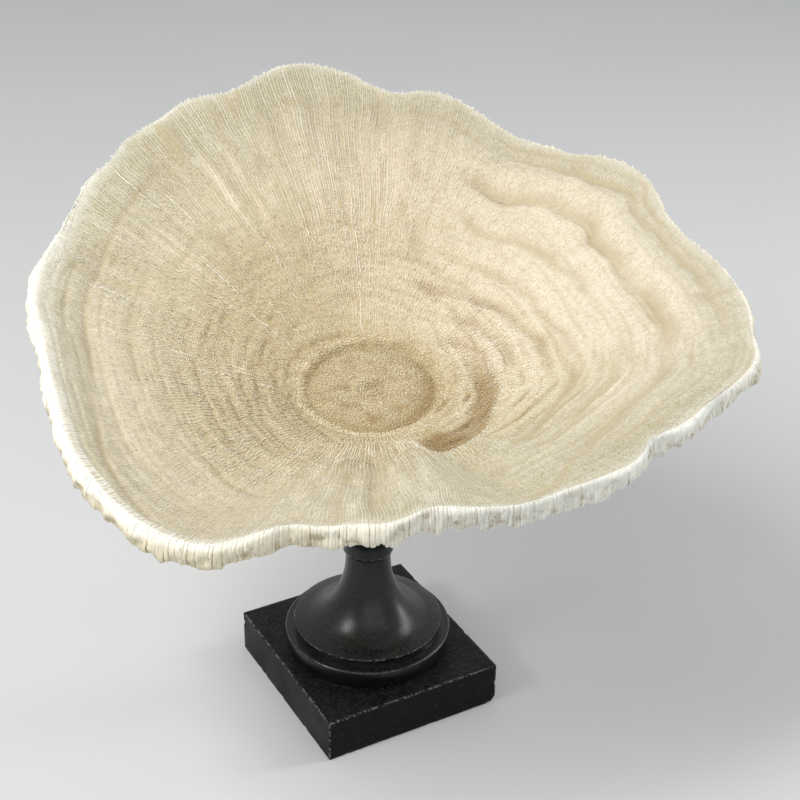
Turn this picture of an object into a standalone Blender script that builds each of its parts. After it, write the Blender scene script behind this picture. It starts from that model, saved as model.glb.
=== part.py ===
"""A cup coral on a turned, blackened wood stand.

The coral is a tilted, wavy dish on a short stalk that is sawn flat at its foot. It stands on a
turned socle, which stands on a square plinth, and a steel pin runs from the socle into the stalk.
Metres, +Z up, with the origin at the centre of the plinth's underside.
"""

from math import cos, degrees, exp, pi, radians, sin, tau

import bmesh
import bpy
from mathutils import Euler, Vector

# Gap between pieces that touch
GAP = 0.0003

# Plinth: a square block with eased edges and one chipped lower corner
PLINTH_WIDTH = 0.0975
PLINTH_DEPTH = 0.1025
PLINTH_HEIGHT = 0.0236
PLINTH_EASE = 0.0009
CHIP_SIZE = 0.0035

# Socle: heights above the plinth's top face, and radii
DRUM_FOOT_RADIUS = 0.0421
DRUM_TOP_RADIUS = 0.0431
DRUM_HEIGHT = 0.0112
LEDGE_RADIUS = 0.0380
SKIRT_RADIUS = 0.0387
SKIRT_HEIGHT = 0.0155
NECK_RADIUS = 0.0116
NECK_HEIGHT = 0.0535
COLLAR_RADIUS = 0.0131
COLLAR_HEIGHT = 0.0600
SAUCER_RADIUS = 0.0210
SAUCER_EDGE = 0.0022
SOCLE_HEIGHT = 0.0757
SKIRT_STEPS = 7
SAUCER_STEPS = 4
SOCLE_SIDES = 44

# Pin: how far it reaches to each side of the joint between socle and stalk
PIN_RADIUS = 0.003
PIN_REACH = 0.024
PIN_SIDES = 16

# Coral: the dish's own frame is turned about Z and then tilted towards its front
DISH_CENTRE = Vector((-0.0035, -0.0070, 0.1800))
DISH_TURN = radians(-28.5)
DISH_TILT = radians(12.0)
BEARINGS = 120

# Rim stations at equal bearings: reach from the dish's axis, and height of the crest above the floor
RIM_STATIONS = (
    (0.172, 0.059),
    (0.164, 0.053),
    (0.164, 0.056),
    (0.168, 0.055),
    (0.160, 0.053),
    (0.168, 0.061),
    (0.169, 0.066),
    (0.175, 0.076),
    (0.165, 0.071),
    (0.173, 0.064),
    (0.166, 0.058),
    (0.161, 0.056),
    (0.158, 0.057),
    (0.153, 0.060),
    (0.157, 0.062),
    (0.168, 0.059),
    (0.170, 0.050),
    (0.155, 0.054),
    (0.145, 0.058),
    (0.145, 0.058),
    (0.150, 0.058),
    (0.157, 0.057),
    (0.163, 0.057),
    (0.178, 0.060),
)

# Scallops of the rim: bearing and half width in degrees, and how far the rim stands out there
SCALLOPS = (
    (12, 7, 0.0030),
    (24, 6, -0.0025),
    (37, 8, 0.0060),
    (50, 4, -0.0040),
    (86, 5, -0.0070),
    (97, 9, 0.0060),
    (123, 5, 0.0095),
    (142, 4, -0.0025),
    (248, 6, 0.0055),
    (258, 4, -0.0030),
    (274, 5, 0.0050),
    (321, 4, -0.0050),
    (350, 5, -0.0035),
)

# Dish: a round floor with a low ring on it, then a wall that rises in growth ledges
FLOOR_RADIUS = 0.0355
FLOOR_RING_RADIUS = 0.0290
FLOOR_RING_HEIGHT = 0.0012
FLOOR_PIT_DEPTH = 0.0010
FIRST_LEDGE_HEIGHT = 0.0035
FIRST_LEDGE_RUN = 0.0022
WALL_CURVE = 0.20

# Growth ledges: height, the bearing where it is strongest, and its place up the wall at eight equal
# bearings, where 0 is the floor's ledge and 1 is the rim
LEDGES = (
    (0.0042, -45, (0.12, 0.09, 0.08, 0.08, 0.11, 0.19, 0.24, 0.28)),
    (0.0034, 15, (0.21, 0.16, 0.17, 0.18, 0.20, 0.28, 0.33, 0.37)),
    (0.0036, 20, (0.33, 0.26, 0.28, 0.29, 0.30, 0.38, 0.43, 0.46)),
    (0.0034, 30, (0.51, 0.52, 0.46, 0.45, 0.50, 0.55, 0.56, 0.57)),
    (0.0036, 30, (0.69, 0.69, 0.62, 0.60, 0.61, 0.66, 0.70, 0.73)),
    (0.0028, 200, (0.87, 0.86, 0.83, 0.81, 0.80, 0.88, 0.87, 0.86)),
)
LEDGE_RUN = 0.024
LEDGE_FAR_SHARE = 0.40

# Hollow terrace that the first growth ledge closes, deepest towards the front right
TERRACE_BEARING = -48
TERRACE_HALF_WIDTH = 42
TERRACE_DEPTH = 0.0050

# Hollow of the left wall below its upturned lip
LIP_BEARING = 200
LIP_HALF_WIDTH = 40
LIP_DEPTH = 0.0060
LIP_PLACE = 0.80

# Radial folds: bearing, half width, height, and where up the wall each starts
FOLDS = (
    (80, 7, 0.0030, 0.45),
    (160, 9, -0.0030, 0.50),
    (266, 7, -0.0025, 0.30),
    (279, 6, 0.0035, 0.25),
    (295, 7, -0.0030, 0.40),
    (335, 12, 0.0030, 0.45),
)

# Radial ribs, which end in teeth at the rim
RIB_HEIGHT = 0.0010
RIM_TEETH = 0.0016
RIM_THICKNESS = 0.0110
RIM_CREST_INSET = 0.0010
RIM_FOOT_INSET = 0.0018
FLOOR_THICKNESS = 0.0140
UNDERSIDE_RIB = 0.0008

# Stalk: it leaves the underside of the dish and narrows to the flat sawn foot
STALK_START = 0.26
STALK_WAIST = 0.0235
STALK_RISE = 0.040
FOOT_RADIUS = 0.0200
STALK_ROWS = 6


def clear_scene():
    for thing in list(bpy.data.objects):
        bpy.data.objects.remove(thing, do_unlink=True)


def material(name, color, roughness, metallic=0.0):
    made = bpy.data.materials.new(name)
    made.use_nodes = True
    shader = made.node_tree.nodes["Principled BSDF"]
    shader.inputs["Base Color"].default_value = (*color, 1.0)
    shader.inputs["Roughness"].default_value = roughness
    shader.inputs["Metallic"].default_value = metallic
    return made


def object_from(name, form, finish, crease_degrees=40):
    """Turns a bmesh into a named, smooth-shaded object with one material."""
    mesh = bpy.data.meshes.new(name)
    bmesh.ops.recalc_face_normals(form, faces=form.faces)
    form.to_mesh(mesh)
    form.free()
    mesh.shade_smooth()
    mesh.set_sharp_from_angle(angle=radians(crease_degrees))
    mesh.materials.append(finish)
    made = bpy.data.objects.new(name, mesh)
    bpy.context.scene.collection.objects.link(made)
    return made


def build_plinth(finish):
    form = bmesh.new()
    bmesh.ops.create_cube(form, size=1.0)
    bmesh.ops.scale(form, vec=(PLINTH_WIDTH, PLINTH_DEPTH, PLINTH_HEIGHT), verts=form.verts)
    chipped = max(form.verts, key=lambda v: v.co.x - v.co.y - v.co.z)
    bmesh.ops.bevel(form, geom=[chipped], offset=CHIP_SIZE, segments=1, affect="VERTICES")
    plinth = object_from("plinth", form, finish, crease_degrees=25)
    plinth.location.z = PLINTH_HEIGHT / 2
    ease = plinth.modifiers.new("eased edges", "BEVEL")
    ease.width = PLINTH_EASE
    ease.segments = 2
    ease.limit_method = "ANGLE"
    return plinth


def arc(centre, radii, start, end, steps):
    """Points along an elliptical arc, as (radius, height) pairs, from start to end in degrees."""
    points = []
    for step in range(steps + 1):
        angle = radians(start + (end - start) * step / steps)
        points.append((centre[0] + radii[0] * cos(angle), centre[1] + radii[1] * sin(angle)))
    return points


def socle_outline():
    """The turned outline from the top centre, down the outside, to the centre of the foot."""
    outline = [(0.0, SOCLE_HEIGHT), (SAUCER_RADIUS, SOCLE_HEIGHT)]
    cove_top = SOCLE_HEIGHT - SAUCER_EDGE
    cove_foot = COLLAR_HEIGHT + 0.0012
    reach = SAUCER_RADIUS - COLLAR_RADIUS
    outline += arc((SAUCER_RADIUS, cove_foot), (-reach, cove_top - cove_foot), 90, 0, SAUCER_STEPS)
    outline += [(COLLAR_RADIUS, COLLAR_HEIGHT - 0.0012), (NECK_RADIUS, COLLAR_HEIGHT - 0.0028)]
    skirt_reach = SKIRT_RADIUS - NECK_RADIUS
    skirt_rise = NECK_HEIGHT - SKIRT_HEIGHT
    outline += arc((SKIRT_RADIUS, NECK_HEIGHT), (-skirt_reach, -skirt_rise), 0, 78, SKIRT_STEPS)
    outline += [(SKIRT_RADIUS, SKIRT_HEIGHT)]
    outline += [(LEDGE_RADIUS, SKIRT_HEIGHT - 0.0012), (LEDGE_RADIUS, DRUM_HEIGHT - 0.0006)]
    outline += [(DRUM_TOP_RADIUS - 0.0008, DRUM_HEIGHT), (DRUM_TOP_RADIUS, DRUM_HEIGHT - 0.0008)]
    outline += [(DRUM_FOOT_RADIUS, 0.0), (0.0, 0.0)]
    return outline


def build_socle(finish):
    form = bmesh.new()
    points = [form.verts.new((radius, 0.0, height)) for radius, height in socle_outline()]
    for upper, lower in zip(points, points[1:]):
        form.edges.new((upper, lower))
    mesh = bpy.data.meshes.new("socle")
    form.to_mesh(mesh)
    form.free()
    mesh.materials.append(finish)
    socle = bpy.data.objects.new("socle", mesh)
    bpy.context.scene.collection.objects.link(socle)
    socle.location.z = PLINTH_HEIGHT + GAP
    turn = socle.modifiers.new("turned on the lathe", "SCREW")
    turn.steps = SOCLE_SIDES
    turn.render_steps = SOCLE_SIDES
    turn.use_merge_vertices = True
    turn.merge_threshold = 0.00001
    turn.use_smooth_shade = True
    return socle


def around(column, bearing):
    """A rim station's value at any bearing, on a closed smooth curve through the stations."""
    count = len(RIM_STATIONS)
    place = (bearing % tau) / tau * count
    first = int(place)
    t = place - first
    before, here, after, beyond = (RIM_STATIONS[(first + step) % count][column] for step in (-1, 0, 1, 2))
    bend = 2 * before - 5 * here + 4 * after - beyond
    twist = 3 * here - before - 3 * after + beyond
    return 0.5 * (2 * here + (after - before) * t + bend * t**2 + twist * t**3)


def bump(bearing, centre_degrees, half_width_degrees):
    """A smooth bump of height 1 about one bearing."""
    away = (degrees(bearing) - centre_degrees + 180) % 360 - 180
    return exp(-((away / half_width_degrees) ** 2))


def rim_reach(bearing):
    reach = around(0, bearing)
    for centre, half_width, out in SCALLOPS:
        reach += out * bump(bearing, centre, half_width)
    return reach


def wall_height(place, bearing):
    """Height of the inner wall above the floor, without ledges, at a place from 0 to 1."""
    rise = around(1, bearing) - FIRST_LEDGE_HEIGHT
    height = FIRST_LEDGE_HEIGHT + rise * ((1 + WALL_CURVE) * place - WALL_CURVE * place**2)
    beside = (1 - place) / (1 - LIP_PLACE) if place > LIP_PLACE else (place / LIP_PLACE) ** 2
    height -= LIP_DEPTH * beside * bump(bearing, LIP_BEARING, LIP_HALF_WIDTH)
    for centre, half_width, out, start in FOLDS:
        grown = max(0.0, (place - start) / (1 - start))
        height += out * grown * bump(bearing, centre, half_width)
    return height


def ledge_place(track, bearing):
    """A ledge's place up the wall at any bearing, eased between its eight given places."""
    step = (bearing % tau) / tau * len(track)
    first = int(step)
    blend = 0.5 - 0.5 * cos(pi * (step - first))
    return track[first] * (1 - blend) + track[(first + 1) % len(track)] * blend


def ledge_share(bearing, strongest_degrees):
    """How strong a ledge is at a bearing, from LEDGE_FAR_SHARE on the far side to 1."""
    swing = 0.5 + 0.5 * cos(bearing - radians(strongest_degrees))
    return LEDGE_FAR_SHARE + (1 - LEDGE_FAR_SHARE) * swing


def rib(index):
    """Odd bearings run along a rib and even ones along a groove."""
    return 0.5 if index % 2 else -0.5


def top_profile(index):
    """The (reach, height) pairs of one bearing's upper side, from near the centre to the rim's crest."""
    bearing = tau * index / BEARINGS
    reach = rim_reach(bearing)
    wall_start = FLOOR_RADIUS + FIRST_LEDGE_RUN
    sunk = TERRACE_DEPTH * bump(bearing, TERRACE_BEARING, TERRACE_HALF_WIDTH)
    points = [
        (FLOOR_RING_RADIUS * 0.45, -FLOOR_PIT_DEPTH * 0.2),
        (FLOOR_RING_RADIUS, FLOOR_RING_HEIGHT),
        (FLOOR_RADIUS, 0.0),
        (wall_start, FIRST_LEDGE_HEIGHT - 0.3 * sunk),
    ]
    for number, (height, strongest, track) in enumerate(LEDGES):
        share = ledge_share(bearing, strongest) * height
        for shift, lift in ((0.0, -0.5), (LEDGE_RUN, 0.5)):
            place = ledge_place(track, bearing) + shift
            ribbed = RIB_HEIGHT * rib(index) * place
            level = wall_height(place, bearing) + share * lift + ribbed
            if number == 0 and shift == 0.0:
                level -= sunk
            points.append((wall_start + (reach - wall_start) * place, level))
    teeth = RIM_TEETH * rib(index)
    points.append((reach - RIM_CREST_INSET + teeth, wall_height(1.0, bearing)))
    return points


def under_profile(index):
    """The (reach, height) pairs of one bearing's edge and underside, from the crest in to the stalk."""
    bearing = tau * index / BEARINGS
    reach = rim_reach(bearing)
    crest = wall_height(1.0, bearing)
    teeth = RIM_TEETH * rib(index)
    points = [
        (reach + teeth, crest - 0.25 * RIM_THICKNESS),
        (reach + teeth, crest - 0.80 * RIM_THICKNESS),
        (reach - RIM_FOOT_INSET + teeth, crest - RIM_THICKNESS),
    ]
    for place in (0.86, 0.68, 0.48, STALK_START):
        thickness = FLOOR_THICKNESS + (RIM_THICKNESS - FLOOR_THICKNESS) * place
        height = wall_height(place, bearing) - thickness - UNDERSIDE_RIB * rib(index)
        points.append((FLOOR_RADIUS + (reach - FLOOR_RADIUS) * place, height))
    return points


def stalk_points(start, bearing):
    """Points of one bearing's stalk line, a Bezier curve from the underside of the dish to the foot."""
    direction = Vector((cos(bearing + DISH_TURN), sin(bearing + DISH_TURN), 0.0))
    foot_height = PLINTH_HEIGHT + SOCLE_HEIGHT + 2 * GAP
    foot = direction * FOOT_RADIUS + Vector((0.0, 0.0, foot_height))
    waist = direction * STALK_WAIST + Vector((0.0, 0.0, foot_height + STALK_RISE))
    points = []
    for step in range(1, STALK_ROWS + 1):
        t = step / STALK_ROWS
        points.append(start * (1 - t) ** 2 + waist * 2 * t * (1 - t) + foot * t**2)
    return points


def build_coral(finish):
    form = bmesh.new()
    frame = Euler((DISH_TILT, 0.0, DISH_TURN)).to_matrix()
    columns = []
    for index in range(BEARINGS):
        bearing = tau * index / BEARINGS
        flat = Vector((cos(bearing), sin(bearing), 0.0))
        places = []
        for reach, height in top_profile(index) + under_profile(index):
            places.append(DISH_CENTRE + frame @ (flat * reach + Vector((0.0, 0.0, height))))
        places += stalk_points(places[-1], bearing)
        columns.append([form.verts.new(place) for place in places])
    middle = form.verts.new(DISH_CENTRE - frame @ Vector((0.0, 0.0, FLOOR_PIT_DEPTH)))
    for here, following in zip(columns, columns[1:] + columns[:1]):
        form.faces.new((middle, here[0], following[0]))
        for row in range(len(here) - 1):
            form.faces.new((here[row], here[row + 1], following[row + 1], following[row]))
    form.faces.new([column[-1] for column in reversed(columns)])
    bmesh.ops.triangulate(form, faces=form.faces)
    return object_from("coral", form, finish, crease_degrees=60)


def add_cylinder(name, radius, reach, sides):
    """A capped cylinder that stands across the joint between the socle and the stalk."""
    form = bmesh.new()
    bmesh.ops.create_cone(
        form, cap_ends=True, segments=sides, radius1=radius, radius2=radius, depth=2 * reach
    )
    mesh = bpy.data.meshes.new(name)
    form.to_mesh(mesh)
    form.free()
    made = bpy.data.objects.new(name, mesh)
    bpy.context.scene.collection.objects.link(made)
    made.location.z = PLINTH_HEIGHT + SOCLE_HEIGHT + 1.5 * GAP
    return made


def drill(pieces):
    """Bores the pin's hole into each piece."""
    cutter = add_cylinder("pin_bore_cutter", PIN_RADIUS + GAP, PIN_REACH + GAP, PIN_SIDES)
    cutter.hide_render = True
    cutter.display_type = "WIRE"
    for piece in pieces:
        bore = piece.modifiers.new("bore for the pin", "BOOLEAN")
        bore.operation = "DIFFERENCE"
        bore.object = cutter


def build_pin(finish):
    pin = add_cylinder("pin", PIN_RADIUS, PIN_REACH, PIN_SIDES)
    pin.data.materials.append(finish)
    pin.data.shade_smooth()
    pin.data.set_sharp_from_angle(angle=radians(40))
    return pin


def main():
    clear_scene()
    blackened = material("blackened_wood", (0.012, 0.012, 0.013), 0.42)
    turned = material("turned_blackened_wood", (0.014, 0.014, 0.015), 0.32)
    skeleton = material("coral_skeleton", (0.72, 0.64, 0.50), 0.85)
    steel = material("steel", (0.55, 0.55, 0.56), 0.35, metallic=1.0)
    build_plinth(blackened)
    socle = build_socle(turned)
    coral = build_coral(skeleton)
    drill((socle, coral))
    build_pin(steel)


if __name__ == "__main__":
    main()
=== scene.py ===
"""Dresses a mounted cup coral: a ledged, toothed coral dish on a turned, ebonised stand.

The coral is made from arrays: one closed body with its growth ledges, folds and seams, then the
fine radial blades that cover it, over the rim and down its underside, and the grains of its floor.
The stand is modelled from primitives in edit mode. Metres, +Z up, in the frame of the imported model.
"""

import logging
from collections.abc import Callable, Sequence
from dataclasses import dataclass
from enum import Enum
from math import cos, inf, pi, radians, sin, tau

import bpy
import numpy as np
from bpy.types import ID, Material, Node, NodeSocket, NodeTree, Object
from mathutils import Euler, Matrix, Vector


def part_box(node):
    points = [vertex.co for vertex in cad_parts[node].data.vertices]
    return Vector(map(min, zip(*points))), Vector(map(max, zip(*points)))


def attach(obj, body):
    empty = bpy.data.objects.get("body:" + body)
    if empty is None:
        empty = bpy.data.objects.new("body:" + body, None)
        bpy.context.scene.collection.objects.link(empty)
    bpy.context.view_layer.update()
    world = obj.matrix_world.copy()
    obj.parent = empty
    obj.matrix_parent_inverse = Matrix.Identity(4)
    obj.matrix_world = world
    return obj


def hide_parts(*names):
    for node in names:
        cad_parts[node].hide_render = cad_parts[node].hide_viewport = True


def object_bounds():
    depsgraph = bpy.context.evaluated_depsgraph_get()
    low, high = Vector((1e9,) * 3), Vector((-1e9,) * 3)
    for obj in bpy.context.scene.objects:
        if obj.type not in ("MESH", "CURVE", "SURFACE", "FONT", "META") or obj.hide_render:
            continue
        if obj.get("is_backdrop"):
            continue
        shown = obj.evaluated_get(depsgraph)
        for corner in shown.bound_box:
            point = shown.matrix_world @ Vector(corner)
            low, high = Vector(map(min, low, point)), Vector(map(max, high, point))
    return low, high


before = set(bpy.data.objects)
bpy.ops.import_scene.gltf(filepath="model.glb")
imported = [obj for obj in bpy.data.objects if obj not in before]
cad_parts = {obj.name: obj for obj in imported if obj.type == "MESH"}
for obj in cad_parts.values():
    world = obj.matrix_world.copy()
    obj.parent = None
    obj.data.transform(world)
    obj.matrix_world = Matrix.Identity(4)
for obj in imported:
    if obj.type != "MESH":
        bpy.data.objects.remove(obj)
CAD_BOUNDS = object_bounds()

LOG = logging.getLogger("cup_coral")
BODY = "root"
MM = 0.001
SMOOTH_TO = 35
Array = np.ndarray
Colour = tuple[float, float, float, float]
Pair = tuple[float, float]
Place = tuple[float, float, float]
Rows = tuple[tuple[float, ...], ...]


class Slot(Enum):
    """The record's material slots."""

    CORAL = "coral"
    SOCLE = "socle"
    PLINTH = "plinth"
    PIN = "pin"


class Piece(Enum):
    """Names of the pieces that this script makes."""

    BODY = "coral_body"
    GRAINS = "coral_floor_grains"
    BLADES = "coral_blades"
    RIBS = "coral_rim_ribs"
    COSTAE = "coral_costae"
    SOCLE = "socle_turned"
    PLINTH = "plinth_block"


def paint(red: float, green: float, blue: float) -> Colour:
    """Turns display values from 0 to 255 into a linear colour."""
    linear = []
    for value in (red / 255, green / 255, blue / 255):
        linear.append(value / 12.92 if value <= 0.04045 else ((value + 0.055) / 1.055) ** 2.4)
    return (linear[0], linear[1], linear[2], 1.0)


def dimmed(colour: Colour, share: float) -> Colour:
    """A colour at a share of its brightness."""
    return tuple(share * value for value in colour[:3]) + (1.0,)


def ease(share: Array) -> Array:
    """Smooth step from 0 to 1 of a share that is clipped to that range."""
    held = np.clip(share, 0.0, 1.0)
    return held * held * (3.0 - 2.0 * held)


def window(value: Array, start: float, end: float, fade: float) -> Array:
    """Weight of 1 between two limits that fades to 0 across each of them."""
    return ease((value - start) / fade) * ease((end - value) / fade)


def turn_from(bearing: Array, centre: float) -> Array:
    """Degrees from a centre bearing in degrees to bearings in radians, between -180 and 180."""
    return (np.degrees(bearing) - centre + 180.0) % 360.0 - 180.0


def hill(off: Array, half_width: float) -> Array:
    """Smooth hill of height 1 where the distance off it is 0."""
    return np.exp(-((off / half_width) ** 2))


def bump(bearing: Array, centre: float, half_width: float) -> Array:
    """Smooth hill about one bearing, with its centre and its half width in degrees."""
    return hill(turn_from(bearing, centre), half_width)


def cubic(before: Array, here: Array, after: Array, beyond: Array, t: Array) -> Array:
    """Reads a smooth curve between the middle two of four values, at a share t of the way."""
    bend = 2 * before - 5 * here + 4 * after - beyond
    twist = 3 * here - before - 3 * after + beyond
    return 0.5 * (2 * here + (after - before) * t + bend * t**2 + twist * t**3)


def around(values: Sequence[float], bearing: Array) -> Array:
    """Reads a closed smooth curve through values that stand at equal bearings."""
    table = np.asarray(values, float)
    place = (bearing % tau) / tau * len(table)
    first = np.floor(place).astype(int)
    return cubic(*(table[(first + step) % len(table)] for step in (-1, 0, 1, 2)), place - first)


def stretch(knots: Sequence[Pair], value: Array) -> tuple[Array, Array]:
    """Reads a smooth open curve through knots in millimetres.

    Args:
        knots: Pairs of numbers along the curve.
        value: From 0 at the first knot to 1 at the last.

    Returns:
        Both coordinates of the curve, in metres.
    """
    table = np.asarray(knots, float) * MM
    last = len(table) - 1
    place = np.clip(value, 0.0, 1.0) * last
    first = np.minimum(np.floor(place).astype(int), last - 1)
    corners = (table[np.clip(first + step, 0, last)] for step in (-1, 0, 1, 2))
    found = cubic(*corners, (place - first)[..., None])
    return found[..., 0], found[..., 1]


def along_line(line: Sequence[tuple[float, ...]], bearing: Array) -> tuple[Array, ...]:
    """Reads a line of rows that start with a bearing in degrees.

    Args:
        line: The rows, by bearing.
        bearing: Bearings in radians.

    Returns:
        The bearings in degrees as the line counts them, then each value of its rows there.
    """
    turns, *columns = zip(*line)
    middle = 0.5 * (turns[0] + turns[-1])
    here = middle + turn_from(bearing, middle)
    return here, *(np.interp(here, turns, column) for column in columns)


def waves(rows: Rows, bearing: Array, place: Array) -> Array:
    """Sum of sine waves round the dish: (strength, count, climb with the place, phase) rows."""
    return sum(size * np.sin(bearing * count + climb * place + phase) for size, count, climb, phase in rows)


@dataclass(frozen=True)
class Patch:
    """A soft patch of the dish about one bearing, between two limits on the way out.

    The centre and the half width are in degrees. A patch with no limits fades only sideways.
    """

    weight: float
    centre: float
    half_width: float
    start: float = -inf
    fade: float = 1.0
    end: float = inf

    def at(self, along: Array, bearing: Array) -> Array:
        """The patch's share at each way out and bearing."""
        share = self.weight * bump(bearing, self.centre, self.half_width)
        return share * window(along, self.start, self.end, self.fade)


def patchwork(patches: Sequence[Patch], along: Array, bearing: Array) -> Array:
    """Sum of patches."""
    return sum(patch.at(along, bearing) for patch in patches)


class Ripple:
    """Smooth solid noise made of plane waves in fixed random directions."""

    def __init__(self, seed: int, wavelength: float, waves: int = 14) -> None:
        """Draws the waves."""
        draw = np.random.default_rng(seed)
        heading = draw.normal(size=(waves, 3))
        heading /= np.linalg.norm(heading, axis=1, keepdims=True)
        self.numbers = heading * (tau / (wavelength * draw.uniform(0.6, 1.6, (waves, 1))))
        self.phases = draw.uniform(0, tau, waves)
        self.share = (2.0 / waves) ** 0.5

    def at(self, places: Array) -> Array:
        """Noise of unit strength at places whose last axis is x, y, z."""
        total = np.zeros(places.shape[:-1])
        for number, phase in zip(self.numbers, self.phases):
            total += np.sin(places @ number + phase)
        return total * self.share


@dataclass(frozen=True)
class GrowthArc:
    """A growth line along the wall: a groove, or a roll where its depth is negative.

    The depth and the rise of the lip outside it are in millimetres, and its line is a run of
    (bearing, place) pairs.
    """

    depth: float
    lip: float
    half_width: float
    line: tuple[Pair, ...]
    fade: float = 10.0


@dataclass(frozen=True)
class Step:
    """A sunken step whose riser stands at a line: (bearing, place, millimetres sunk) rows."""

    riser: float
    line: tuple[tuple[float, float, float], ...]


@dataclass(frozen=True)
class Seam:
    """A narrow crease that runs up the wall."""

    bearing: float
    start: float
    end: float
    depth: float
    half_width: float


@dataclass(frozen=True)
class Pit:
    """A small stained hollow in the wall."""

    bearing: float
    place: float
    radius: float
    depth: float


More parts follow.
